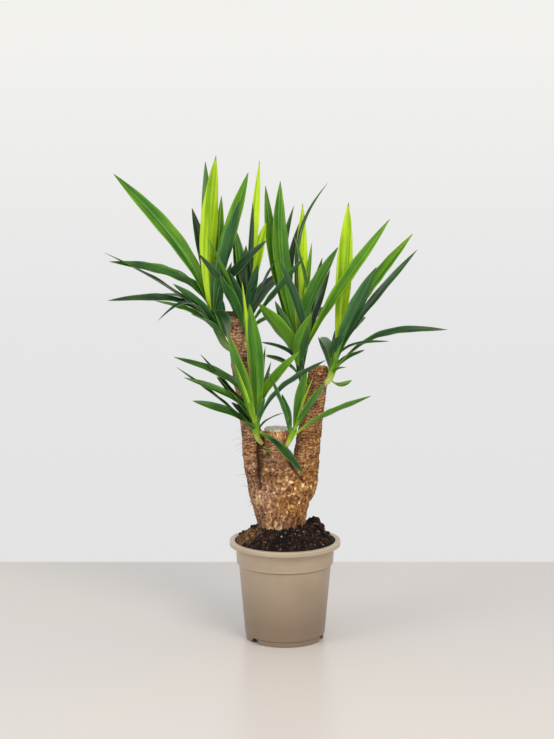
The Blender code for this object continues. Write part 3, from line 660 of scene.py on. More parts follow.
def bark_relief(p):
    """Height in millimetres, and how light the cork is from 0 to 1, at a point in millimetres."""
    x, y, z = p
    young = min(1.0, max(0.0, (z - STEM_FOOT) / STEM_BLEND))
    drift = 3.0 * lumps(p, 16, 16)
    skew = 0.3 * drift
    plate = min(1.0, 2.0 * in_cell(x / PLATE_MM + skew, y / PLATE_MM, z / (8.5 - 4.5 * young) + skew))
    crumb = min(1.0, 1.8 * in_cell(x / CORK_CRUMB_MM, y / CORK_CRUMB_MM, z / 2.6))
    patch = noise.fractal(Vector((x / PATCH_MM, y / PATCH_MM, z / (26 - 12 * young))), 0.9, 2.2, 5)
    mottle = noise.fractal(Vector((x / SPECKLE_MM, y / SPECKLE_MM, z / (5.5 - 2.5 * young))), 0.7, 2.1, 3)
    knobs = lumps(p, 11, 12)
    ring = abs(sin(pi * (z + 1.3 * drift) / RING_STEP)) ** 0.5
    split = min(1.0, 0.25 + 2.4 * abs(lumps(p, 5, 34)))
    height = 1.0 * plate + 0.4 * crumb + 1.0 * knobs + 0.5 * patch + 0.9 * young * ring + 0.6 * split - 1.8
    rough = 0.6 + 0.7 * max(0.0, lumps(p, 19, 23, 9))
    # Pale flecks all over, with painted highlights gathered at the lower right.
    highlight_gather = np.exp(-((x - 22) ** 2 / 1500 + (z - 285) ** 2 / 1800))
    fleck_and_highlight = max(0.0, lumps(p, 5, 6, 5) - 0.2 + 0.2 * highlight_gather) * (1 - 0.6 * young)
    light = 0.47 + 0.2 * patch + 0.32 * rough * mottle + 0.16 * rough * (plate - 0.6)
    light += 0.18 * (crumb - 0.5) + 0.75 * fleck_and_highlight + 0.3 * young * (ring - 0.75) + 0.12 * (split - 0.7)
    return height, light


CAP_CENTRE = (-15.5, -2)
PEELED_BOTTOM = 386
PEELED_TOP = 410
PEELED_REACH = 30
# Clefts, as points (x, z) along each, with its half width and depth in millimetres
CLEFTS = [
    ([(-46, 388), (-49, 362), (-47, 338), (-51, 312), (-49, 296)], 4.0, 5.0),
    ([(6, 352), (14, 336), (26, 322), (34, 310)], 3.0, 4.0),
]


def in_cleft(p, normal):
    """How deep in a cleft a point is, in millimetres, and as a share from 0 to 1."""
    if normal[1] > 0.2:
        return 0.0, 0.0
    deep = 0.0
    share = 0.0
    for marks, width, depth in CLEFTS:
        marks = np.array(marks, float)
        for start, end in zip(marks, marks[1:]):
            step = end - start
            along = np.clip(np.dot(p[[0, 2]] - start, step) / np.dot(step, step), 0, 1)
            away = np.linalg.norm(p[[0, 2]] - start - along * step) / width
            near = np.exp(-away ** 2)
            deep = max(deep, depth * near)
            share = max(share, near)
    return deep, share


def bareness(p):
    """1 where the skin has peeled below the wax, 0 elsewhere."""
    x, y, z = p
    edge = PEELED_BOTTOM + 5 * lumps((x, y, 0), 7, 1, 2.0)
    near = 1 if abs(x - CAP_CENTRE[0]) < PEELED_REACH and z < PEELED_TOP else 0
    return near * float(np.clip((z - edge) / 5, 0, 1)) * 0.85


def smoothed(points, edges, rounds):
    """Points moved again and again to the middle of their neighbours."""
    count = np.bincount(edges.ravel(), minlength=len(points))[:, None]
    for _ in range(rounds):
        total = np.zeros_like(points)
        np.add.at(total, edges[:, 0], points[edges[:, 1]])
        np.add.at(total, edges[:, 1], points[edges[:, 0]])
        points = 0.5 * points + 0.5 * total / count
    return points


def gold_and_warm_light_share(p):
    """How golden the cork is: random golden patches, with painted warm light most at the lower right and
    least at the left.
    """
    low_right = np.exp(-((p[0] - 30) ** 2 / 1700 + (p[2] - 290) ** 2 / 3200))
    return float(np.clip(0.28 + 0.005 * p[0] + 0.8 * lumps(p, 30, 34, 4.0) + 0.6 * low_right, 0, 1))


# %% Push the bark out
SMOOTH_ROUNDS = 60
FULL_FOLD_MM = 2.6
BURNT_FROM = 610


def read_mesh(items, key, width, kind=float):
    """Numbers of a mesh's points or edges, as an array with so many columns."""
    numbers = np.zeros(len(items) * width, kind)
    items.foreach_get(key, numbers)
    return numbers.reshape(-1, width)


mesh = cane.data
places = (read_mesh(mesh.vertices, "co", 3) - AXIS) / MM
normals = read_mesh(mesh.vertices, "normal", 3)
edges = read_mesh(mesh.edges, "vertices", 2, int)
fold_depth = ((places - smoothed(places, edges, SMOOTH_ROUNDS)) * normals).sum(axis=1)
painted_shade_and_dark_end = np.clip(-fold_depth / FULL_FOLD_MM, 0, 1)
heights, lights = np.array([bark_relief(p) for p in places]).T
sunk, clefts = np.array([in_cleft(p, n) for p, n in zip(places, normals)]).T
grown = places + normals * (heights - sunk)[:, None]
# The left stem's cut end has dried nearly black.
burnt = np.clip((places[:, 2] - BURNT_FROM) / 8, 0, 0.8)
# Painted shade in folds and clefts, joined with the dark dried cut end.
painted_shade_and_dark_end = np.maximum.reduce([0.85 * painted_shade_and_dark_end, 0.9 * clefts, burnt])
print("fold depth from", fold_depth.min().round(2), "to", fold_depth.max().round(2), "mm")

# %% The finished bark
quads = [tuple(f.vertices) for f in mesh.polygons]
values = {"relief": lights, "gold_and_warm_light": [gold_and_warm_light_share(p) for p in places], "shade_and_dark_end": painted_shade_and_dark_end,
          "bare": [bareness(p) for p in places]}
bpy.data.objects.remove(cane, do_unlink=True)
cane_bark = piece("cane_bark", grown, quads, bark, values)
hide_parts("trunk")
print("bark:", count_triangles(cane_bark), "triangles, relief up to", heights.max().round(2), "mm")

# %% [markdown]
# ## Fibres and shreds
# Dry cane sheds hair-thin fibres, most at the left, and papery yellow shreds of old leaf base hang where
# the right stem was cut. Coir fibres lie curled on the dry patch of soil. All are thin tapered strands.

# %% Dry fibre
# The papery remains are cellulose: matt, straw yellow, and they let a little light through.
STRAW_PATCH_MM = 5.0
STRAND_STATIONS = 8
SAG = (0, 0, -0.3)

straw, shader, node = new_material("dry_fibre", {
    "Roughness": 0.8, "Specular IOR Level": 0.2, "Subsurface Weight": 0.1, "Subsurface Scale": 0.001})
place = node("TexCoord").outputs["Object"]
patchy = node("TexNoise", {"Vector": place, "Scale": scale(STRAW_PATCH_MM), "Detail": 2.0})
tan = node("ValToRGB", [patchy], stops=[(0.35, "#7d5a37"), (0.55, "#bf9a5c"), (0.7, "#dcc487")])
fill(shader, {"Base Color": tan})


def strand(start, way, bend, length, width, flat):
    """Points and faces of a tapered strand that starts along one direction and bends toward another."""
    t = np.linspace(0, 1, STRAND_STATIONS)[:, None]
    line = start + length * (t * way + 0.5 * t ** 2 * bend)
    across = np.cross(way, bend + 0.01)
    across = across / np.linalg.norm(across)
    out = np.cross(way, across)
    half = width / 2 * (1 - 0.9 * t)
    around = [(1, 0), (0, flat), (-1, 0), (0, -flat)]
    return tube(list(np.stack([line + half * (a * across + b * out) for a, b in around], axis=1)))


def strands(name, slot, roots, ways, length, width, flat, curl):
    """One strand from each root, of random length and bend, as one piece."""
    parts = [strand(start, way, curl * rng.normal(0, 1, 3) + SAG, rng.uniform(*length),
                    width * rng.uniform(0.6, 1.2), flat) for start, way in zip(roots, ways)]
    shown = piece(name, *joined(parts), straw)
    print(name + ":", len(parts), "strands,", count_triangles(shown), "triangles")


# %% Fibres on the cane and coir on the soil
HAIR_LEVELS = (230, 420)
HAIR_RIGHT = -55
STEM_LEFT = 30
STEM_LEVELS = (425, 488)
COIR_TRIES = 60
COIR_SPREAD = 13


def bark_spots(wanted, count):
    """Random places on the bark among those wanted, and the ways out of it there."""
    chosen = rng.choice(np.flatnonzero(wanted), count)
    return grown[chosen] - 0.5 * normals[chosen], normals[chosen] + rng.normal(0, 0.35, (count, 3))


x, y, z = places.T
side_on = abs(normals[:, 0]) > 0.6
left_low = side_on & (x < HAIR_RIGHT) & (z > HAIR_LEVELS[0]) & (z < HAIR_LEVELS[1])
strands("cane_hairs", "bark", *bark_spots(left_low, 46), (4, 15), 0.45, 1.0, 0.5)
stem_top = (x > STEM_LEFT) & (z > STEM_LEVELS[0]) & (z < STEM_LEVELS[1])
stem_top &= (normals[:, 1] < 0.3) & (normals[:, 2] < 0.5)
strands("stem_fibres", "bark", *bark_spots(stem_top, 34), (6, 20), 0.5, 1.0, 0.7)
strands("papery_shreds", "bark", *bark_spots(stem_top, 9), (14, 26), 3.4, 0.12, 0.9)
roots = []
for _ in range(COIR_TRIES):
    dry_x, dry_y = rng.normal(DRY_PATCH[:2], COIR_SPREAD)
    if np.hypot(dry_x, dry_y) < soil_edge - 6:
        roots.append((dry_x, dry_y, soil_height(dry_x, dry_y) + 0.8))
turns = rng.uniform(0, 2 * pi, len(roots))
ways = np.column_stack([np.cos(turns), np.sin(turns), np.full(len(roots), 0.25)])
strands("coir_fibres", "soil", np.array(roots), ways, (6, 16), 0.6, 1.0, 0.5)

# %% [markdown]
# ## Sealing wax
# A grower seals a sawn cane with wax, so that it doesn't dry out. It is poured on, runs over the edge and
# sets in thick rounded lobes. A few soft balls and bars melted together by a remesh have just that look.

# %% Grey-white wax
# Paraffin has an IOR of 1.44, lets light a little way in, and dulls with dust and algae.
STAIN_MM = 9.0
COAT_STEP_MM = 4.0

wax, shader, node = new_material("sealing_wax", {
    "IOR": 1.44, "Roughness": 0.42, "Subsurface Weight": 0.15, "Subsurface Scale": 0.004})
place = node("TexCoord").outputs["Object"]
stain = node("TexNoise", {"Vector": place, "Scale": scale(STAIN_MM), "Detail": 5.0, "Roughness": 0.65})
tint = node("ValToRGB", [stain], stops=[(0.3, "#8c8875"), (0.46, "#c0baa3"), (0.7, "#e6e0ca")])
# It set in thin coats, and each has left a grey ring about 4 mm from the next. A wave's scale of 1 repeats
# every 2 pi / 20 of a unit.
about = node("Mapping", {"Vector": place, "Location": tuple(-to_world([(*CAP_CENTRE, 0)])[0])})
coats = node("TexWave", {
    "Vector": about, "Scale": 2 * pi / 20 * scale(COAT_STEP_MM), "Distortion": 2.0, "Detail": 2.0,
}, wave_type="RINGS", rings_direction="Z").outputs["Fac"]
line = node("MapRange", [coats, 0.0, 0.35, 0.5, 0.0])
ringed = node("MixRGB", [line, tint, "#5f5e50"])
bump = node("Bump", {"Height": stain, "Strength": 0.4, "Distance": 0.8 * MM})
fill(shader, {"Base Color": ringed, "Normal": bump})
print("made", wax.name)

# %% Pour the wax
CAP_RADIUS = 24.0
CAP_BOTTOM = 400.6
CAP_LOBES = 14
CAP_RUN = [(2, -6, 404, 5.5), (6.5, -5, 401, 5.0), (9.0, -4, 395, 3.8), (9.4, -4, 387.5, 2.6)]
WAX_VOXEL_MM = 0.8


def melt(name, blobs, voxel_mm, mat):
    """Join balls, given as (x, y, z, radius across, radius up), into one smooth form."""
    balls = [(BALL_POINTS * (wide, wide, high) + (x, y, z), BALL_FACES) for x, y, z, wide, high in blobs]
    melted = piece(name, *joined(balls), mat)
    rebuild(melted, voxel_mm, 6)
    melted.data.shade_smooth()
    return melted


blobs = [(*CAP_CENTRE, CAP_BOTTOM + 3.6, 20.5, 4.6)]
for k in range(CAP_LOBES):
    bearing = 2 * pi * k / CAP_LOBES
    reach = CAP_RADIUS - 5.2 + rng.uniform(-0.8, 0.8)
    blobs.append((CAP_CENTRE[0] + reach * cos(bearing), CAP_CENTRE[1] + reach * sin(bearing),
                  CAP_BOTTOM + 2.6 + rng.uniform(-0.5, 0.7), 5.4, 3.9))
for start, end in zip(CAP_RUN, CAP_RUN[1:]):
    for share in np.linspace(0, 1, 5):
        x, y, z, radius = np.array(start) * (1 - share) + np.array(end) * share
        blobs.append((x, y, z, radius, radius))
wax_seal = melt("wax_seal", blobs, WAX_VOXEL_MM, wax)
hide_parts("wax_cap")
print("wax:", count_triangles(wax_seal), "triangles")

# %% [markdown]
# ## Leaf blade
# A yucca leaf is a stiff strap with close parallel veins, a faint lighter midrib and a pale dry edge. Old
# leaves are deep blue-green and young ones are yellow-green. The surface is a waxy skin, so it is fairly
# glossy, and it is bluer below. One material serves every leaf: each leaf carries its own tone.

# %% Waxy strap leaf
# Veins lie about 0.7 mm apart. They are drawn 1.4 mm apart, because finer ones wouldn't show.
VEIN_MM = 1.4
BAND_MM = 5.0
CLOUD_ACROSS_MM = 28.0

leaf, shader, node = new_material("waxy_leaf", {
    "IOR": 1.45, "Subsurface Weight": 0.06, "Subsurface Scale": 0.002})
tone, share, edge, upper, across, along, number, glow = (
    node("Attribute", attribute_name=name).outputs["Fac"]
    for name in ("tone", "share", "edge", "upper", "across_mm", "along_mm", "number", "glow"))


def stretched_noise(across_size, along_size, detail):
    """Noise laid out along the leaf: narrow across it and long along it, different on every leaf."""
    wide = node("Math", [across, across_size], operation="DIVIDE")
    long = node("Math", [along, along_size], operation="DIVIDE")
    spot = node("CombineXYZ", [wide, long, number])
    return node("TexNoise", {"Vector": spot, "Scale": 1.0, "Detail": detail})


veins = stretched_noise(VEIN_MM, 90.0, 2.0)
bands = stretched_noise(BAND_MM, 220.0, 1.0)
clouds = stretched_noise(CLOUD_ACROSS_MM, 45.0, 3.0)
print("leaf patterns made")

# %% The leaf's greens
# The tone is shifted by veins, by clouds and, most on young leaves, by bands, before it picks a green. It
# is younger at the root and at the edges.
vein_shift = node("MapRange", [veins, 0.3, 0.7, -0.08, 0.08])
band_shift = node("MapRange", [bands, 0.3, 0.7, -0.26, 0.26])
cloud_shift = node("MapRange", [clouds, 0.3, 0.7, -0.07, 0.07])
near_root = node("MapRange", [share, 0.0, 0.3, 0.55, 0.0])
root_glow = node("Math", [near_root, glow], operation="MULTIPLY")
edge_glow = node("MapRange", [edge, 0.55, 1.0, 0.0, 0.18])
shifted = node("Math", [band_shift, tone, vein_shift], operation="MULTIPLY_ADD")
for part in (tone, cloud_shift, root_glow, edge_glow):
    shifted = node("Math", [shifted, part], operation="ADD")
green = node("ValToRGB", [shifted], stops=[
    (0.0, "#0c281b"), (0.15, "#143815"), (0.36, "#3b7318"), (0.58, "#68980c"), (0.8, "#94ba0c"),
    (1.0, "#bada2c")])

# %% The leaf's rib, margin, underside and gloss
# The midrib is a light line about 1.5 mm wide, and the dry edge is a paler one. A leaf's base is pale too.
from_middle = node("Math", [across], operation="ABSOLUTE")
near_rib = node("MapRange", [from_middle, 0.25, 1.3, 1.0, 0.0])
rib_share = node("MapRange", [tone, 0.1, 0.8, 0.07, 0.4])
rib = node("Math", [near_rib, rib_share], operation="MULTIPLY")
ribbed = node("MixRGB", [rib, green, "#b4cf52"])
margin = node("MapRange", [edge, 0.9, 1.0, 0.0, 0.4])
edged = node("MixRGB", [margin, ribbed, "#9fb46a"])
# Undersides are bluer with the waxy bloom, and lighter with painted sheen, most on old leaves.
bloom_and_sheen = node("MapRange", [tone, 0.1, 0.7, 0.32, 0.1])
below = node("MixRGB", [bloom_and_sheen, edged, "#3d7647"])
faced = node("MixRGB", [upper, below, edged])
base = node("MapRange", [share, 0.0, 0.09, 0.7, 0.0])
young = node("Math", [base, glow], operation="MULTIPLY")
based = node("MixRGB", [young, faced, "#cdd27a"])
dry_tip = node("MapRange", [share, 0.965, 0.995])
tipped = node("MixRGB", [dry_tip, based, "#5b4a2e"])
# Old leaves carry the thicker wax, so they shine more.
shine = node("MapRange", [tone, 0.15, 0.5, 0.5, 0.15])
gloss = node("MapRange", [clouds, 0.3, 0.7, 0.3, 0.42])
bump = node("Bump", {"Height": veins, "Strength": 0.35, "Distance": 0.25 * MM})
fill(shader, {"Base Color": tipped, "Specular IOR Level": shine, "Roughness": gloss, "Normal": bump})
print("made", leaf.name)

# %% [markdown]
# ## Where the leaves grow
# Each tuft has a short core, and each leaf a row of its own: where it leaves the core, where its tip is,
# how it arches, how wide it is and how it turns. These are the same rows as in the solid, so the fine
# leaves lie where the solid ones do. Each row also has the leaf's tone, from 0 for old to 1 for young.
# Leaves deep in a tuft's shade are given darker tones as well, which is painted shade.

# %% Cores and leaf rows
# Foot of the core, its top, its radius at the foot and at the top, all in millimetres
SHOOTS = {
    "left_outer_head": ((-113, -8, 564), (-138, -14, 624), 7, 7),
    "left_inner_head": ((-78, 5, 566), (-69, 2, 636), 7, 6),
    "right_inner_head": ((32, -4, 492), (23, -8, 562), 6, 7),
    "right_outer_head": ((83, -4, 497), (94, -6, 538), 6, 7),
    "low_left_shoot": ((-52, -26, 390), (-56, -38, 424), 5, 6),
    "low_right_shoot": ((4, -17, 376), (18, -24, 408), 4.5, 5),
    "stub_bud": ((-33, -27, 358), (-33.5, -31, 364), 2.5, 2),
}
# Where each core starts inside the cane, and its radius there
HEELS = {
    "left_outer_head": (-92, -4, 550, 6), "left_inner_head": (-84, 2, 554, 6),
    "right_inner_head": (47, 0, 476, 5), "right_outer_head": (66, 0, 484, 5),
    "low_left_shoot": (-43, -13, 377, 4), "low_right_shoot": (-4, -6, 366, 4),
    "stub_bud": (-31, -19, 354, 2),
}
# Seat on the core, tip, arch, width, turn at root and tip in degrees, tone, sideways bow, arch's peak
Leaf = namedtuple("Leaf", "seat x y z arch width turn_root turn_tip tone side peak", defaults=(0, 0.4))
LEAVES = {
    "left_outer_head": [
        (0.95, -126, -40, 914, 8, 36, 0, 0, 0.88, -6),
        (0.85, -150, 78, 900, 0, 26, 0, 20, 0.25),
        (0.60, -174, 36, 816, -3, 26, 10, 40, 0.10, 8),
        (0.65, -320, 45, 878, 28, 34, 35, 55, 0.37),
        (0.35, -334, -14, 736, 16, 20, 5, 5, 0.10),
        (0.50, -325, -12, 719, 44, 30, 20, 40, 0.25),
        (0.30, -205, -60, 683, 12, 20, -10, -50, 0.20),
        (0.20, -328, -24, 648, 40, 22, 10, 45, 0.10),
        (0.40, -233, -60, 615, 42, 16, 0, 10, 0.10, 0, 0.55),
        (0.50, -128, -34, 725, 4, 26, 0, 0, 0.15),
        (1.00, -106, -70, 584, 18, 30, 0, 0, 0.15),
        (0.90, -69, 62, 880, 8, 34, 0, 20, 0.42),
        (0.80, -83, -40, 834, 4, 36, 0, -25, 0.20),
        (0.75, -120, 80, 836, 4, 22, 0, 30, 0.50),
        (0.65, -32, -12, 760, 22, 26, 20, 45, 0.10),
        (0.75, -98, -30, 720, 2, 22, 0, -20, 0.08),
        (0.30, -116, -42, 654, 6, 18, 0, 0, 0.05),
    ],
    "left_inner_head": [
        (0.95, -48, 70, 902, 4, 18, 0, 50, 0.85),
        (0.90, -36, 50, 789, 6, 24, 10, 30, 0.80),
        (0.75, -60, 30, 828, 0, 12, 24, 54, 0.10),
        (0.50, -140, -110, 772, 6, 9, 0, -20, 0.45),
        (0.30, -157, -112, 744, 14, 18, 0, -25, 0.05),
        (0.20, -119, -82, 700, 8, 24, 0, -10, 0.25),
        (0.65, -96, 40, 774, 0, 24, 0, 10, 0.20),
        (0.55, -15, -10, 725, 4, 24, 0, 20, 0.05),
        (0.35, 34, -52, 731, 0, 18, 0, -40, 0.15),
        (0.85, -93, 30, 778, 2, 22, 0, 15, 0.35),
        (0.70, -73, 20, 747, 2, 22, 0, 15, 0.08),
        (0.45, -101, -50, 703, 4, 20, 0, -20, 0.12),
        (0.50, -50, -40, 718, 4, 20, 0, -20, 0.06),
        (0.32, -120, 44, 708, 2, 20, 0, 0, 0.06),
    ],
    "right_inner_head": [
        (0.85, -37, 80, 855, 0, 26, 0, 30, 0.42, -10, 0.5),
        (0.95, -9, 60, 864, 0, 36, 0, 0, 0.40, -14, 0.55),
        (0.80, 33, 60, 822, 4, 26, 0, 20, 0.90),
        (0.70, 82, 110, 859, 54, 8, 10, 60, 0.15, -14, 0.6),
        (0.75, 17, 100, 816, 4, 18, 0, 20, 0.20, -28, 0.5),
        (0.65, 27, 84, 785, 4, 18, 0, 20, 0.10, -22, 0.5),
        (0.60, 95, -94, 753, 27, 30, 0, -20, 0.38),
        (0.55, 70, 42, 722, 4, 20, 0, 20, 0.10),
        (0.50, 86, 92, 695, 6, 18, 0, 20, 0.05),
        (0.35, -49, -60, 647, 10, 38, -10, -35, 0.50),
        (0.45, -19, -54, 651, 4, 22, 0, -30, 0.20),
        (0.25, -45, -40, 573, 18, 17, 0, -40, 0.10),
        (0.10, -37, -22, 547, 10, 13, 0, 50, 0.10),
        (0.45, 40, -60, 611, 4, 24, 0, 0, 0.20),
        (0.30, 49, -76, 633, 4, 24, 0, 10, 0.40, -12),
        (0.75, 50, 34, 751, 2, 13, 0, 30, 0.50),
        (0.55, 193, 0, 797, 10, 26, 20, 75, 0.45),
        (0.50, 16, -2, 768, 0, 12, 0, 30, 0.30, 24),
        (0.60, -13, -80, 731, 2, 17, 0, -30, 0.10, 20),
    ],
    "right_outer_head": [
        (0.95, 119, 60, 824, 4, 34, 0, 0, 0.77, 6),
        (0.75, 239, 40, 767, 20, 27, 20, 50, 0.42),
        (0.60, 166, -54, 713, 6, 34, -15, -50, 0.20),
        (0.50, 243, -20, 742, 13, 20, 20, 60, 0.15),
        (0.35, 302, -10, 592, 34, 18, 0, 70, 0.15, 0, 0.46),
        (0.10, 193, -30, 573, 32, 11, 0, 40, 0.15),
        (0.30, 60, -46, 584, 4, 13, 0, 10, 0.10),
        (0.15, 112, -40, 526, 6, 14, 0, -20, 0.55),
        (0.00, 126, 12, 494, -10, 11, 30, 60, 0.30),
    ],
    "low_left_shoot": [
        (0.35, 33, -110, 339, 8, 23, 0, 10, 0.15),
        (0.20, -172, -44, 464, 13, 22, 15, 55, 0.25),
        (0.35, -188, -34, 506, 25, 18, 15, 55, 0.30),
        (0.45, -202, -24, 524, 4, 13, 0, 20, 0.15),
        (0.60, -208, -4, 540, 38, 22, 10, 40, 0.20),
        (0.70, -158, -14, 547, 4, 14, 0, 20, 0.10),
        (0.15, -100, -40, 461, 6, 20, 20, 60, 0.10),
        (0.50, -128, -20, 505, 6, 22, 10, 30, 0.15),
        (0.60, -105, -126, 605, -2, 34, 0, 20, 0.44),
        (0.80, -65, -100, 652, 2, 30, 0, 0, 0.42, 7),
        (0.90, -79, -72, 691, 2, 15, 0, 20, 0.85),
        (0.85, -92, -112, 545, 2, 9, 0, 30, 0.95),
        (0.80, -26, -20, 534, 2, 13, 0, 20, 0.30),
        (0.60, 28, -50, 559, 20, 21, 50, 75, 0.42),
        (0.40, 75, -62, 543, 23, 20, -10, -45, 0.10),
        (0.75, -38, -60, 473, 4, 20, 0, 0, 0.30),
        (0.25, -2, -64, 445, 10, 10, 0, 10, 0.10),
        (0.90, -37, 12, 559, 2, 9, 0, 60, 0.20),
    ],
    "low_right_shoot": [
        (0.60, 73, -80, 503, 2, 21, 0, -20, 0.40),
        (0.35, 157, -90, 481, 8, 18, -15, -50, 0.40),
        (0.70, -32, -100, 529, 2, 13, 0, 20, 0.30),
        (0.50, -6, -68, 481, 2, 18, 0, 20, 0.15),
        (0.80, 40, -30, 524, 2, 20, -50, -70, 0.42),
        (0.90, 52, -45, 509, 2, 12, 0, 20, 0.90),
    ],
    "stub_bud": [
        (0.50, -36, -37, 371, 1, 4, 0, 0, 0.35),
        (0.60, -30, -36, 370, 1, 4, 0, 0, 0.45),
        (0.80, -33, -34, 374, 1, 4, 0, 0, 0.40),
    ],
}
print(sum(len(rows) for rows in LEAVES.values()), "leaves by hand")

# %% [markdown]
# The far side of each tuft, and the short leaves close round its core, follow a rule. Leaves on a stem
# keep a golden-ratio step from one to the next, so that they shade each other least.

# %% Leaves by the rule
# How many, first bearing and spread in degrees, length, width, least lean from upright and how much more
ROUND_LEAVES = {
    "left_outer_head": [(4, 85, 70, 210, 22, 52, 36), (2, 150, 120, 110, 22, 20, 50)],
    "left_inner_head": [(3, 50, 50, 190, 20, 52, 36), (2, -60, 100, 85, 22, 20, 50)],
    "right_inner_head": [(3, 68, 60, 190, 20, 52, 36), (2, 105, 110, 90, 20, 25, 50)],
    "right_outer_head": [(3, 62, 55, 190, 20, 52, 36), (2, -70, 140, 95, 20, 20, 50)],
    "low_left_shoot": [(2, 160, 120, 75, 16, 20, 50)],
    "low_right_shoot": [],
    "stub_bud": [],
}
ROUND_ARCH_SHARE = 0.11
ROUND_TURN = 15
# Least tone and how much more, highest seat and how far the seats drop, least share of the length and how
# much more, and where the lean starts
ROUND_TONES = (0.1, 0.3)
ROUND_SEAT = (0.85, 0.75)
ROUND_SIZE = (0.8, 0.25)
ROUND_LEAN_START = 0.3
GOLDEN = 0.618


def round_rows(name):
    """Rows for the leaves that fill out a tuft, as in the solid, with a tone for each."""
    foot, top = (np.array(v, float) for v in SHOOTS[name][:2])
    rows = []
    for count, first, spread, length, width, lean_least, lean_more in ROUND_LEAVES[name]:
        for i in range(count):
            bearing = radians(first + spread * (i * GOLDEN % 1))
            lean = radians(lean_least + lean_more * ((i * (1 - GOLDEN) + ROUND_LEAN_START) % 1))
            seat = ROUND_SEAT[0] - ROUND_SEAT[1] * i / (count - 1)
            size = length * (ROUND_SIZE[0] + ROUND_SIZE[1] * (i * (1 - GOLDEN) % 1))
            way = np.array([sin(lean) * cos(bearing), sin(lean) * sin(bearing), cos(lean)])
            tip = foot + (top - foot) * seat + size * way
            tone = ROUND_TONES[0] + ROUND_TONES[1] * (i * GOLDEN % 1)
            rows.append((seat, *tip, ROUND_ARCH_SHARE * size, width, 0, ROUND_TURN, tone))
    return rows


print(sum(len(round_rows(name)) for name in SHOOTS), "leaves by the rule")

# %% [markdown]
# ## One leaf
# The midrib is a straight line from the core to the tip, lifted into an arch. Across it the blade folds
# in a soft V, deep where it clasps the core and shallow at the tip. The outline swells to its widest a
# little past the middle. Real edges wave a little, and each leaf here waves in its own way.

# %% Leaf outline and midrib
WIDEST = 0.54
ROOT_SHARE = 0.3
ROOT_DEPTH = 0.55
FOLD_AT_TIP = 0.28
FOLD_MORE_AT_ROOT = 0.35
LONG_LEAF = 150
LONG_STATIONS = 44
SHORT_STATIONS = 28
BUD_STATIONS = 10


def width_share(t):
    """Half width at t, 0 at the root and 1 at the tip, as a share of the widest."""
    swell = ROOT_SHARE + (1 - ROOT_SHARE) * np.sin(np.minimum(t / WIDEST, 1) * pi / 2) ** 1.4
    beyond = np.clip((t - WIDEST) / (1 - WIDEST), 0, 1)
    point = (1 - beyond ** 1.8) ** 0.9
    sheath = 0.16 * np.clip(1 - t / 0.07, 0, 1)
    return np.maximum(0.012, np.where(t <= WIDEST, swell + sheath, point))


def blade_line(name, row, t):
    """Midrib points, and the ways across the blade and out of its upper face, at each station."""
    foot, top = (np.array(v, float) for v in SHOOTS[name][:2])
    foot_radius, top_radius = SHOOTS[name][2:]
    root = foot + (top - foot) * row.seat
    bearing = atan2(row.y - root[1], row.x - root[0])
    skin = ROOT_DEPTH * (foot_radius + (top_radius - foot_radius) * row.seat)
    root = root + skin * np.array([cos(bearing), sin(bearing), 0])
    chord = np.array([row.x, row.y, row.z]) - root
    level = np.array([-sin(bearing), cos(bearing), 0])
    up = np.cross(chord, level)
    up = up / np.linalg.norm(up)
    if up[2] < 0:
        up = -up
    rise = np.sin(pi * t ** (log(0.5) / log(row.peak)))
    line = root + t[:, None] * chord + rise[:, None] * (up * row.arch + np.array([row.side, 0, 0]))
    tangent = np.gradient(line, t, axis=0)
    tangent = tangent / np.linalg.norm(tangent, axis=1)[:, None]
    across = level - (tangent @ level)[:, None] * tangent
    across = across / np.linalg.norm(across, axis=1)[:, None]
    out = np.cross(tangent, across)
    front = 1 if cos(bearing) >= 0 else -1
    turn = np.radians(row.turn_root + (row.turn_tip - row.turn_root) * t)[:, None] * front
    return line, across * np.cos(turn) + out * np.sin(turn), out * np.cos(turn) - across * np.sin(turn)


# %% Leaf surface
HALF_COLUMNS = 7
SOFT_FOLD = 0.22
WAVE_MM = 52
WAVE_SPREAD_MM = 17
HALF_THICKNESS = 0.5
KEEL = 0.45
PATTERN_STEP = 7.3


def blade_faces(stations, columns):
    """Faces over a grid of upper points, a like grid of lower points, and the rim that joins them."""
    size = stations * columns
    grid = np.arange(size).reshape(stations, columns)
    faces = []
    corners = (grid[:-1, :-1], grid[:-1, 1:], grid[1:, 1:], grid[1:, :-1])
    for a, b, c, d in zip(*(part.ravel() for part in corners)):
        faces += [(a, b, c, d), (a + size, d + size, c + size, b + size)]
    rim = [*grid[0], *grid[1:, -1], *grid[-1, -2::-1], *grid[-2:0:-1, 0]]
    for a, b in zip(rim, rim[1:] + rim[:1]):
        faces.append((b, a, a + size, b + size))
    return faces


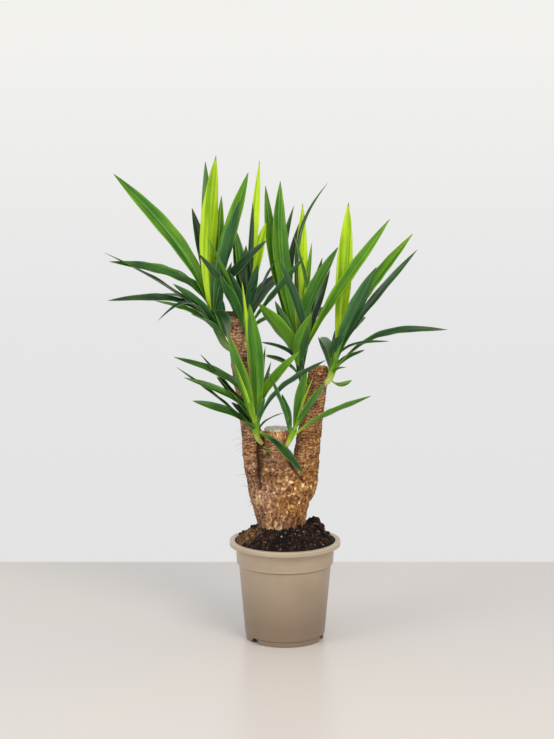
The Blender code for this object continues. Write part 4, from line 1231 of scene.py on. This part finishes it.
def blade(name, row, number):
    """Points, faces and values of one closed leaf."""
    long = np.linalg.norm(np.array(row[1:4]) - np.array(SHOOTS[name][0])) > LONG_LEAF
    stations = LONG_STATIONS if long else SHORT_STATIONS
    if name == "stub_bud":
        stations = BUD_STATIONS
    t = np.linspace(0, 1, stations)
    line, across, out = (part[:, None, :] for part in blade_line(name, row, t))
    length = np.linalg.norm(np.diff(line[:, 0], axis=0), axis=1).sum()
    t = t[:, None]
    s = np.linspace(-1, 1, 2 * HALF_COLUMNS + 1)
    half = row.width / 2 * width_share(t)
    fold = FOLD_AT_TIP + FOLD_MORE_AT_ROOT * (1 - t) ** 2 + 0.5 * np.clip(1 - t / 0.1, 0, 1)
    soft = (np.sqrt(s ** 2 + SOFT_FOLD ** 2) - SOFT_FOLD) / (np.sqrt(1 + SOFT_FOLD ** 2) - SOFT_FOLD)
    phase = number * 2.4
    wave_length = WAVE_MM + WAVE_SPREAD_MM * sin(number * 1.7)
    calm_ends = np.sin(pi * np.clip(t * 1.05, 0, 1)) ** 0.7
    wave = np.sin(2 * pi * t * length / wave_length + phase)
    other = np.sin(2 * pi * t * length / (wave_length * 1.23) + phase * 1.9)
    ripple = np.where(s < 0, wave, other) * s ** 2 * calm_ends * np.minimum(1.1, half * 0.09)
    sideways = half * s * np.cos(fold)
    raised = half * soft * np.sin(fold) + ripple
    thin = HALF_THICKNESS * (0.55 + 0.75 * (1 - np.abs(s)) ** 1.5) * (0.35 + 0.65 * calm_ends)
    keel = KEEL * np.exp(-(s / 0.12) ** 2) * (1 - t)
    middle = line + sideways[..., None] * across
    top = middle + (raised + thin)[..., None] * out
    low = middle + (raised - thin - keel)[..., None] * out
    values = {
        "share": t, "edge": np.abs(s), "across_mm": half * s, "along_mm": t * length,
        "tone": row.tone, "number": number * PATTERN_STEP,
    }
    values = {key: np.tile(np.broadcast_to(one, sideways.shape).ravel(), 2) for key, one in values.items()}
    values["upper"] = np.repeat([1.0, 0.0], sideways.size)
    points = np.vstack([top.reshape(-1, 3), low.reshape(-1, 3)])
    return points, blade_faces(stations, len(s)), values


# %% [markdown]
# ## Cores
# The leaves grow from a short stem that bends out of the cane. It is narrow and pale where it leaves the
# bark, ringed where older leaves have come away, thicker where leaf bases sheathe it, and blunt on top.

# %% The core of a tuft
CORE_SIDES = 24
CORE_LEVELS = 40
CORE_SWELL = 1.2
CORE_TOP = 1.1
BEND_LEVELS = 9


def core(name):
    """Points, faces and the share of its height at each point, for a tuft's short stem."""
    foot, top, foot_radius, top_radius = SHOOTS[name]
    heel = np.array(HEELS[name][:3], float)
    foot = np.array(foot, float)
    top = np.array(top, float)
    first = np.linalg.norm(foot - heel)
    length = np.linalg.norm(top - foot)
    walked = np.linspace(-first, CORE_TOP * length, CORE_LEVELS)
    path = np.column_stack([np.interp(walked, [-first, 0, length], ends) for ends in zip(heel, foot, top)])
    path += np.clip(walked - length, 0, None)[:, None] * (top - foot) / length
    padded = np.vstack([path[:1]] * (BEND_LEVELS // 2) + [path] + [path[-1:]] * (BEND_LEVELS // 2))
    path = np.array([padded[i:i + BEND_LEVELS].mean(axis=0) for i in range(CORE_LEVELS)])
    swell = CORE_SWELL * (foot_radius + top_radius) / 2
    radii = np.interp(walked, [-first, 0, length / 2, length, CORE_TOP * length],
                      [HEELS[name][3], foot_radius, swell, top_radius, 0.3 * top_radius])
    radii = radii * (1 + 0.05 * np.sin(1.3 * walked))
    levels = zip(path, np.gradient(path, axis=0), radii)
    points, faces = tube([square_ring(centre, way, radius, CORE_SIDES) for centre, way, radius in levels])
    return points, faces, np.repeat(np.clip(walked / length, 0, 1), CORE_SIDES)


# %% Grow the tufts
# How far the yellow-green of new growth spreads out of each core
GLOW = {"low_left_shoot": 0.8, "low_right_shoot": 1.2, "right_outer_head": 1.0}
OLD_GLOW = 0.3
FRESH_CORE = 0.3
OLD_CORE = 0.1
NUMBERS_APART = 20


def tuft(name):
    """A core and all its leaves as one piece, in place of the solid tuft."""
    points, faces, risen = core(name)
    parts = [(points, faces)]
    values = [{
        "share": 0.2 * risen, "edge": 0.5 + 0 * risen, "across_mm": 4 + 0 * risen, "along_mm": points[:, 2],
        "tone": (FRESH_CORE if name in GLOW else OLD_CORE) + 0 * risen, "number": 0 * risen,
        "upper": 1 + 0 * risen,
    }]
    rows = LEAVES[name] + round_rows(name)
    for number, row in enumerate(rows, NUMBERS_APART * list(SHOOTS).index(name) + 1):
        points, faces, own = blade(name, Leaf(*row), number)
        parts.append((points, faces))
        values.append(own)
    values = {key: np.concatenate([own[key] for own in values]) for key in values[0]}
    values["glow"] = np.full(len(values["tone"]), GLOW.get(name, OLD_GLOW))
    shown_name = name.replace("head", "leaves").replace("shoot", "shoot_leaves")
    made = piece(shown_name, *joined(parts), leaf, values)
    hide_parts(name)
    print(made.name + ":", len(rows), "leaves,", count_triangles(made), "triangles")


SLOTS = {
    "left_outer_head": "left_outer_leaves", "left_inner_head": "left_inner_leaves",
    "right_inner_head": "right_inner_leaves", "right_outer_head": "right_outer_leaves",
    "low_left_shoot": "low_left_leaves", "low_right_shoot": "low_right_leaves", "stub_bud": "bud_green",
}
for name, slot in SLOTS.items():
    tuft(name)

# %% [markdown]
# ## The studio
# The plant stands on a satin tabletop, whose far edge lies a good half metre behind it. Past that edge
# is only a pale gradient sky, so the plant can be looked at from every side. A large soft light from the
# upper right front shapes the leaves. A cooler one at the left and a low one in front fill the bark and
# the pot.

# %% Tabletop
EDGE_BEHIND = 0.557
TABLE_REACH = 3.4
TABLE_THICKNESS = 0.04
BOX_FACES = [(0, 2, 3, 1), (4, 5, 7, 6), (0, 1, 5, 4), (1, 3, 7, 5), (3, 2, 6, 7), (2, 0, 4, 6)]

satin, shader, node = new_material("satin_tabletop", {"Roughness": 0.3, "Specular IOR Level": 0.4})
place = node("TexCoord").outputs["Object"]
drift = node("TexNoise", {"Vector": place, "Scale": 1.1, "Detail": 2.0})
pale = node("ValToRGB", [drift], stops=[(0.3, "#dcd6d2"), (0.7, "#e1d9d0")])
fill(shader, {"Base Color": pale})

corners = [(x, y, z) for z in (-TABLE_THICKNESS, 0) for y in (-TABLE_REACH, AXIS[1] + EDGE_BEHIND)
           for x in (-TABLE_REACH, TABLE_REACH)]
mesh = bpy.data.meshes.new("tabletop")
mesh.from_pydata(corners, [], BOX_FACES)
mesh.materials.append(satin)
tabletop = show("tabletop", mesh)
print("tabletop made")

# %% Sky and lights
# The sky runs from a grey below, over near white at eye level, to a light grey overhead.
world = bpy.data.worlds.new("pale_sky")
world.use_nodes = True
node = partial(add, world)
way = node("TexCoord").outputs["Generated"]
rise = node("MapRange", [node("SeparateXYZ", [way]).outputs["Z"], -1.0, 1.0])
sky = node("ValToRGB", [rise], stops=[
    (0.0, "#b4b2b0"), (0.3, "#dcdcdd"), (0.37, "#e3e3e4"), (0.44, "#e6e6e7"), (0.52, "#f3f2ee"),
    (0.66, "#dcdddf"), (1.0, "#c3c5c8")])
fill(world.node_tree.nodes["Background"], {"Color": sky, "Strength": 1.0})
bpy.context.scene.world = world


def softbox(name, place, target, size, watts, colour):
    """A square area light that faces a target point. Places and size are in metres."""
    data = bpy.data.lights.new(name, "AREA")
    data.size = size
    data.energy = watts
    data.color = linear(colour)[:3]
    lamp = show(name, data)
    lamp.location = place
    lamp.rotation_euler = (Vector(target) - Vector(place)).to_track_quat("-Z", "Y").to_euler()
    print(name, "light:", watts, "W")


softbox("key", (1.1, -2.1, 2.6), (0, 0, 0.45), 1.3, 40, "#fffaf2")
softbox("front", (-0.3, -3.2, 0.9), (0, 0, 0.35), 1.0, 11, "#fffdfa")
softbox("left", (-2.1, -1.5, 1.7), (0, 0, 0.45), 1.3, 19, "#f6f9ff")

# %% [markdown]
# ## The camera
# The photograph was taken from a little above, about 3.3 m away with a long lens, so the pot's mouth is a
# flat ellipse and the leaves keep their sizes from front to back.

# %% Camera
CAMERA_DISTANCE = 3.3
CAMERA_HEIGHT = 1.012
CAMERA_ASIDE = -0.0152
CAMERA_DIP = 8.55
LENS_MM = 86.95
SENSOR_MM = 36

camera_data = bpy.data.cameras.new("camera")
camera_data.lens = LENS_MM
camera_data.sensor_width = SENSOR_MM
camera = show("camera", camera_data)
camera.location = Vector(AXIS) + Vector((CAMERA_ASIDE, -CAMERA_DISTANCE, CAMERA_HEIGHT))
camera.rotation_euler = (radians(90 - CAMERA_DIP), 0, 0)
bpy.context.scene.camera = camera

# The plain display curve keeps the leaf greens as clear as in the photograph.
bpy.context.scene.view_settings.view_transform = "Standard"
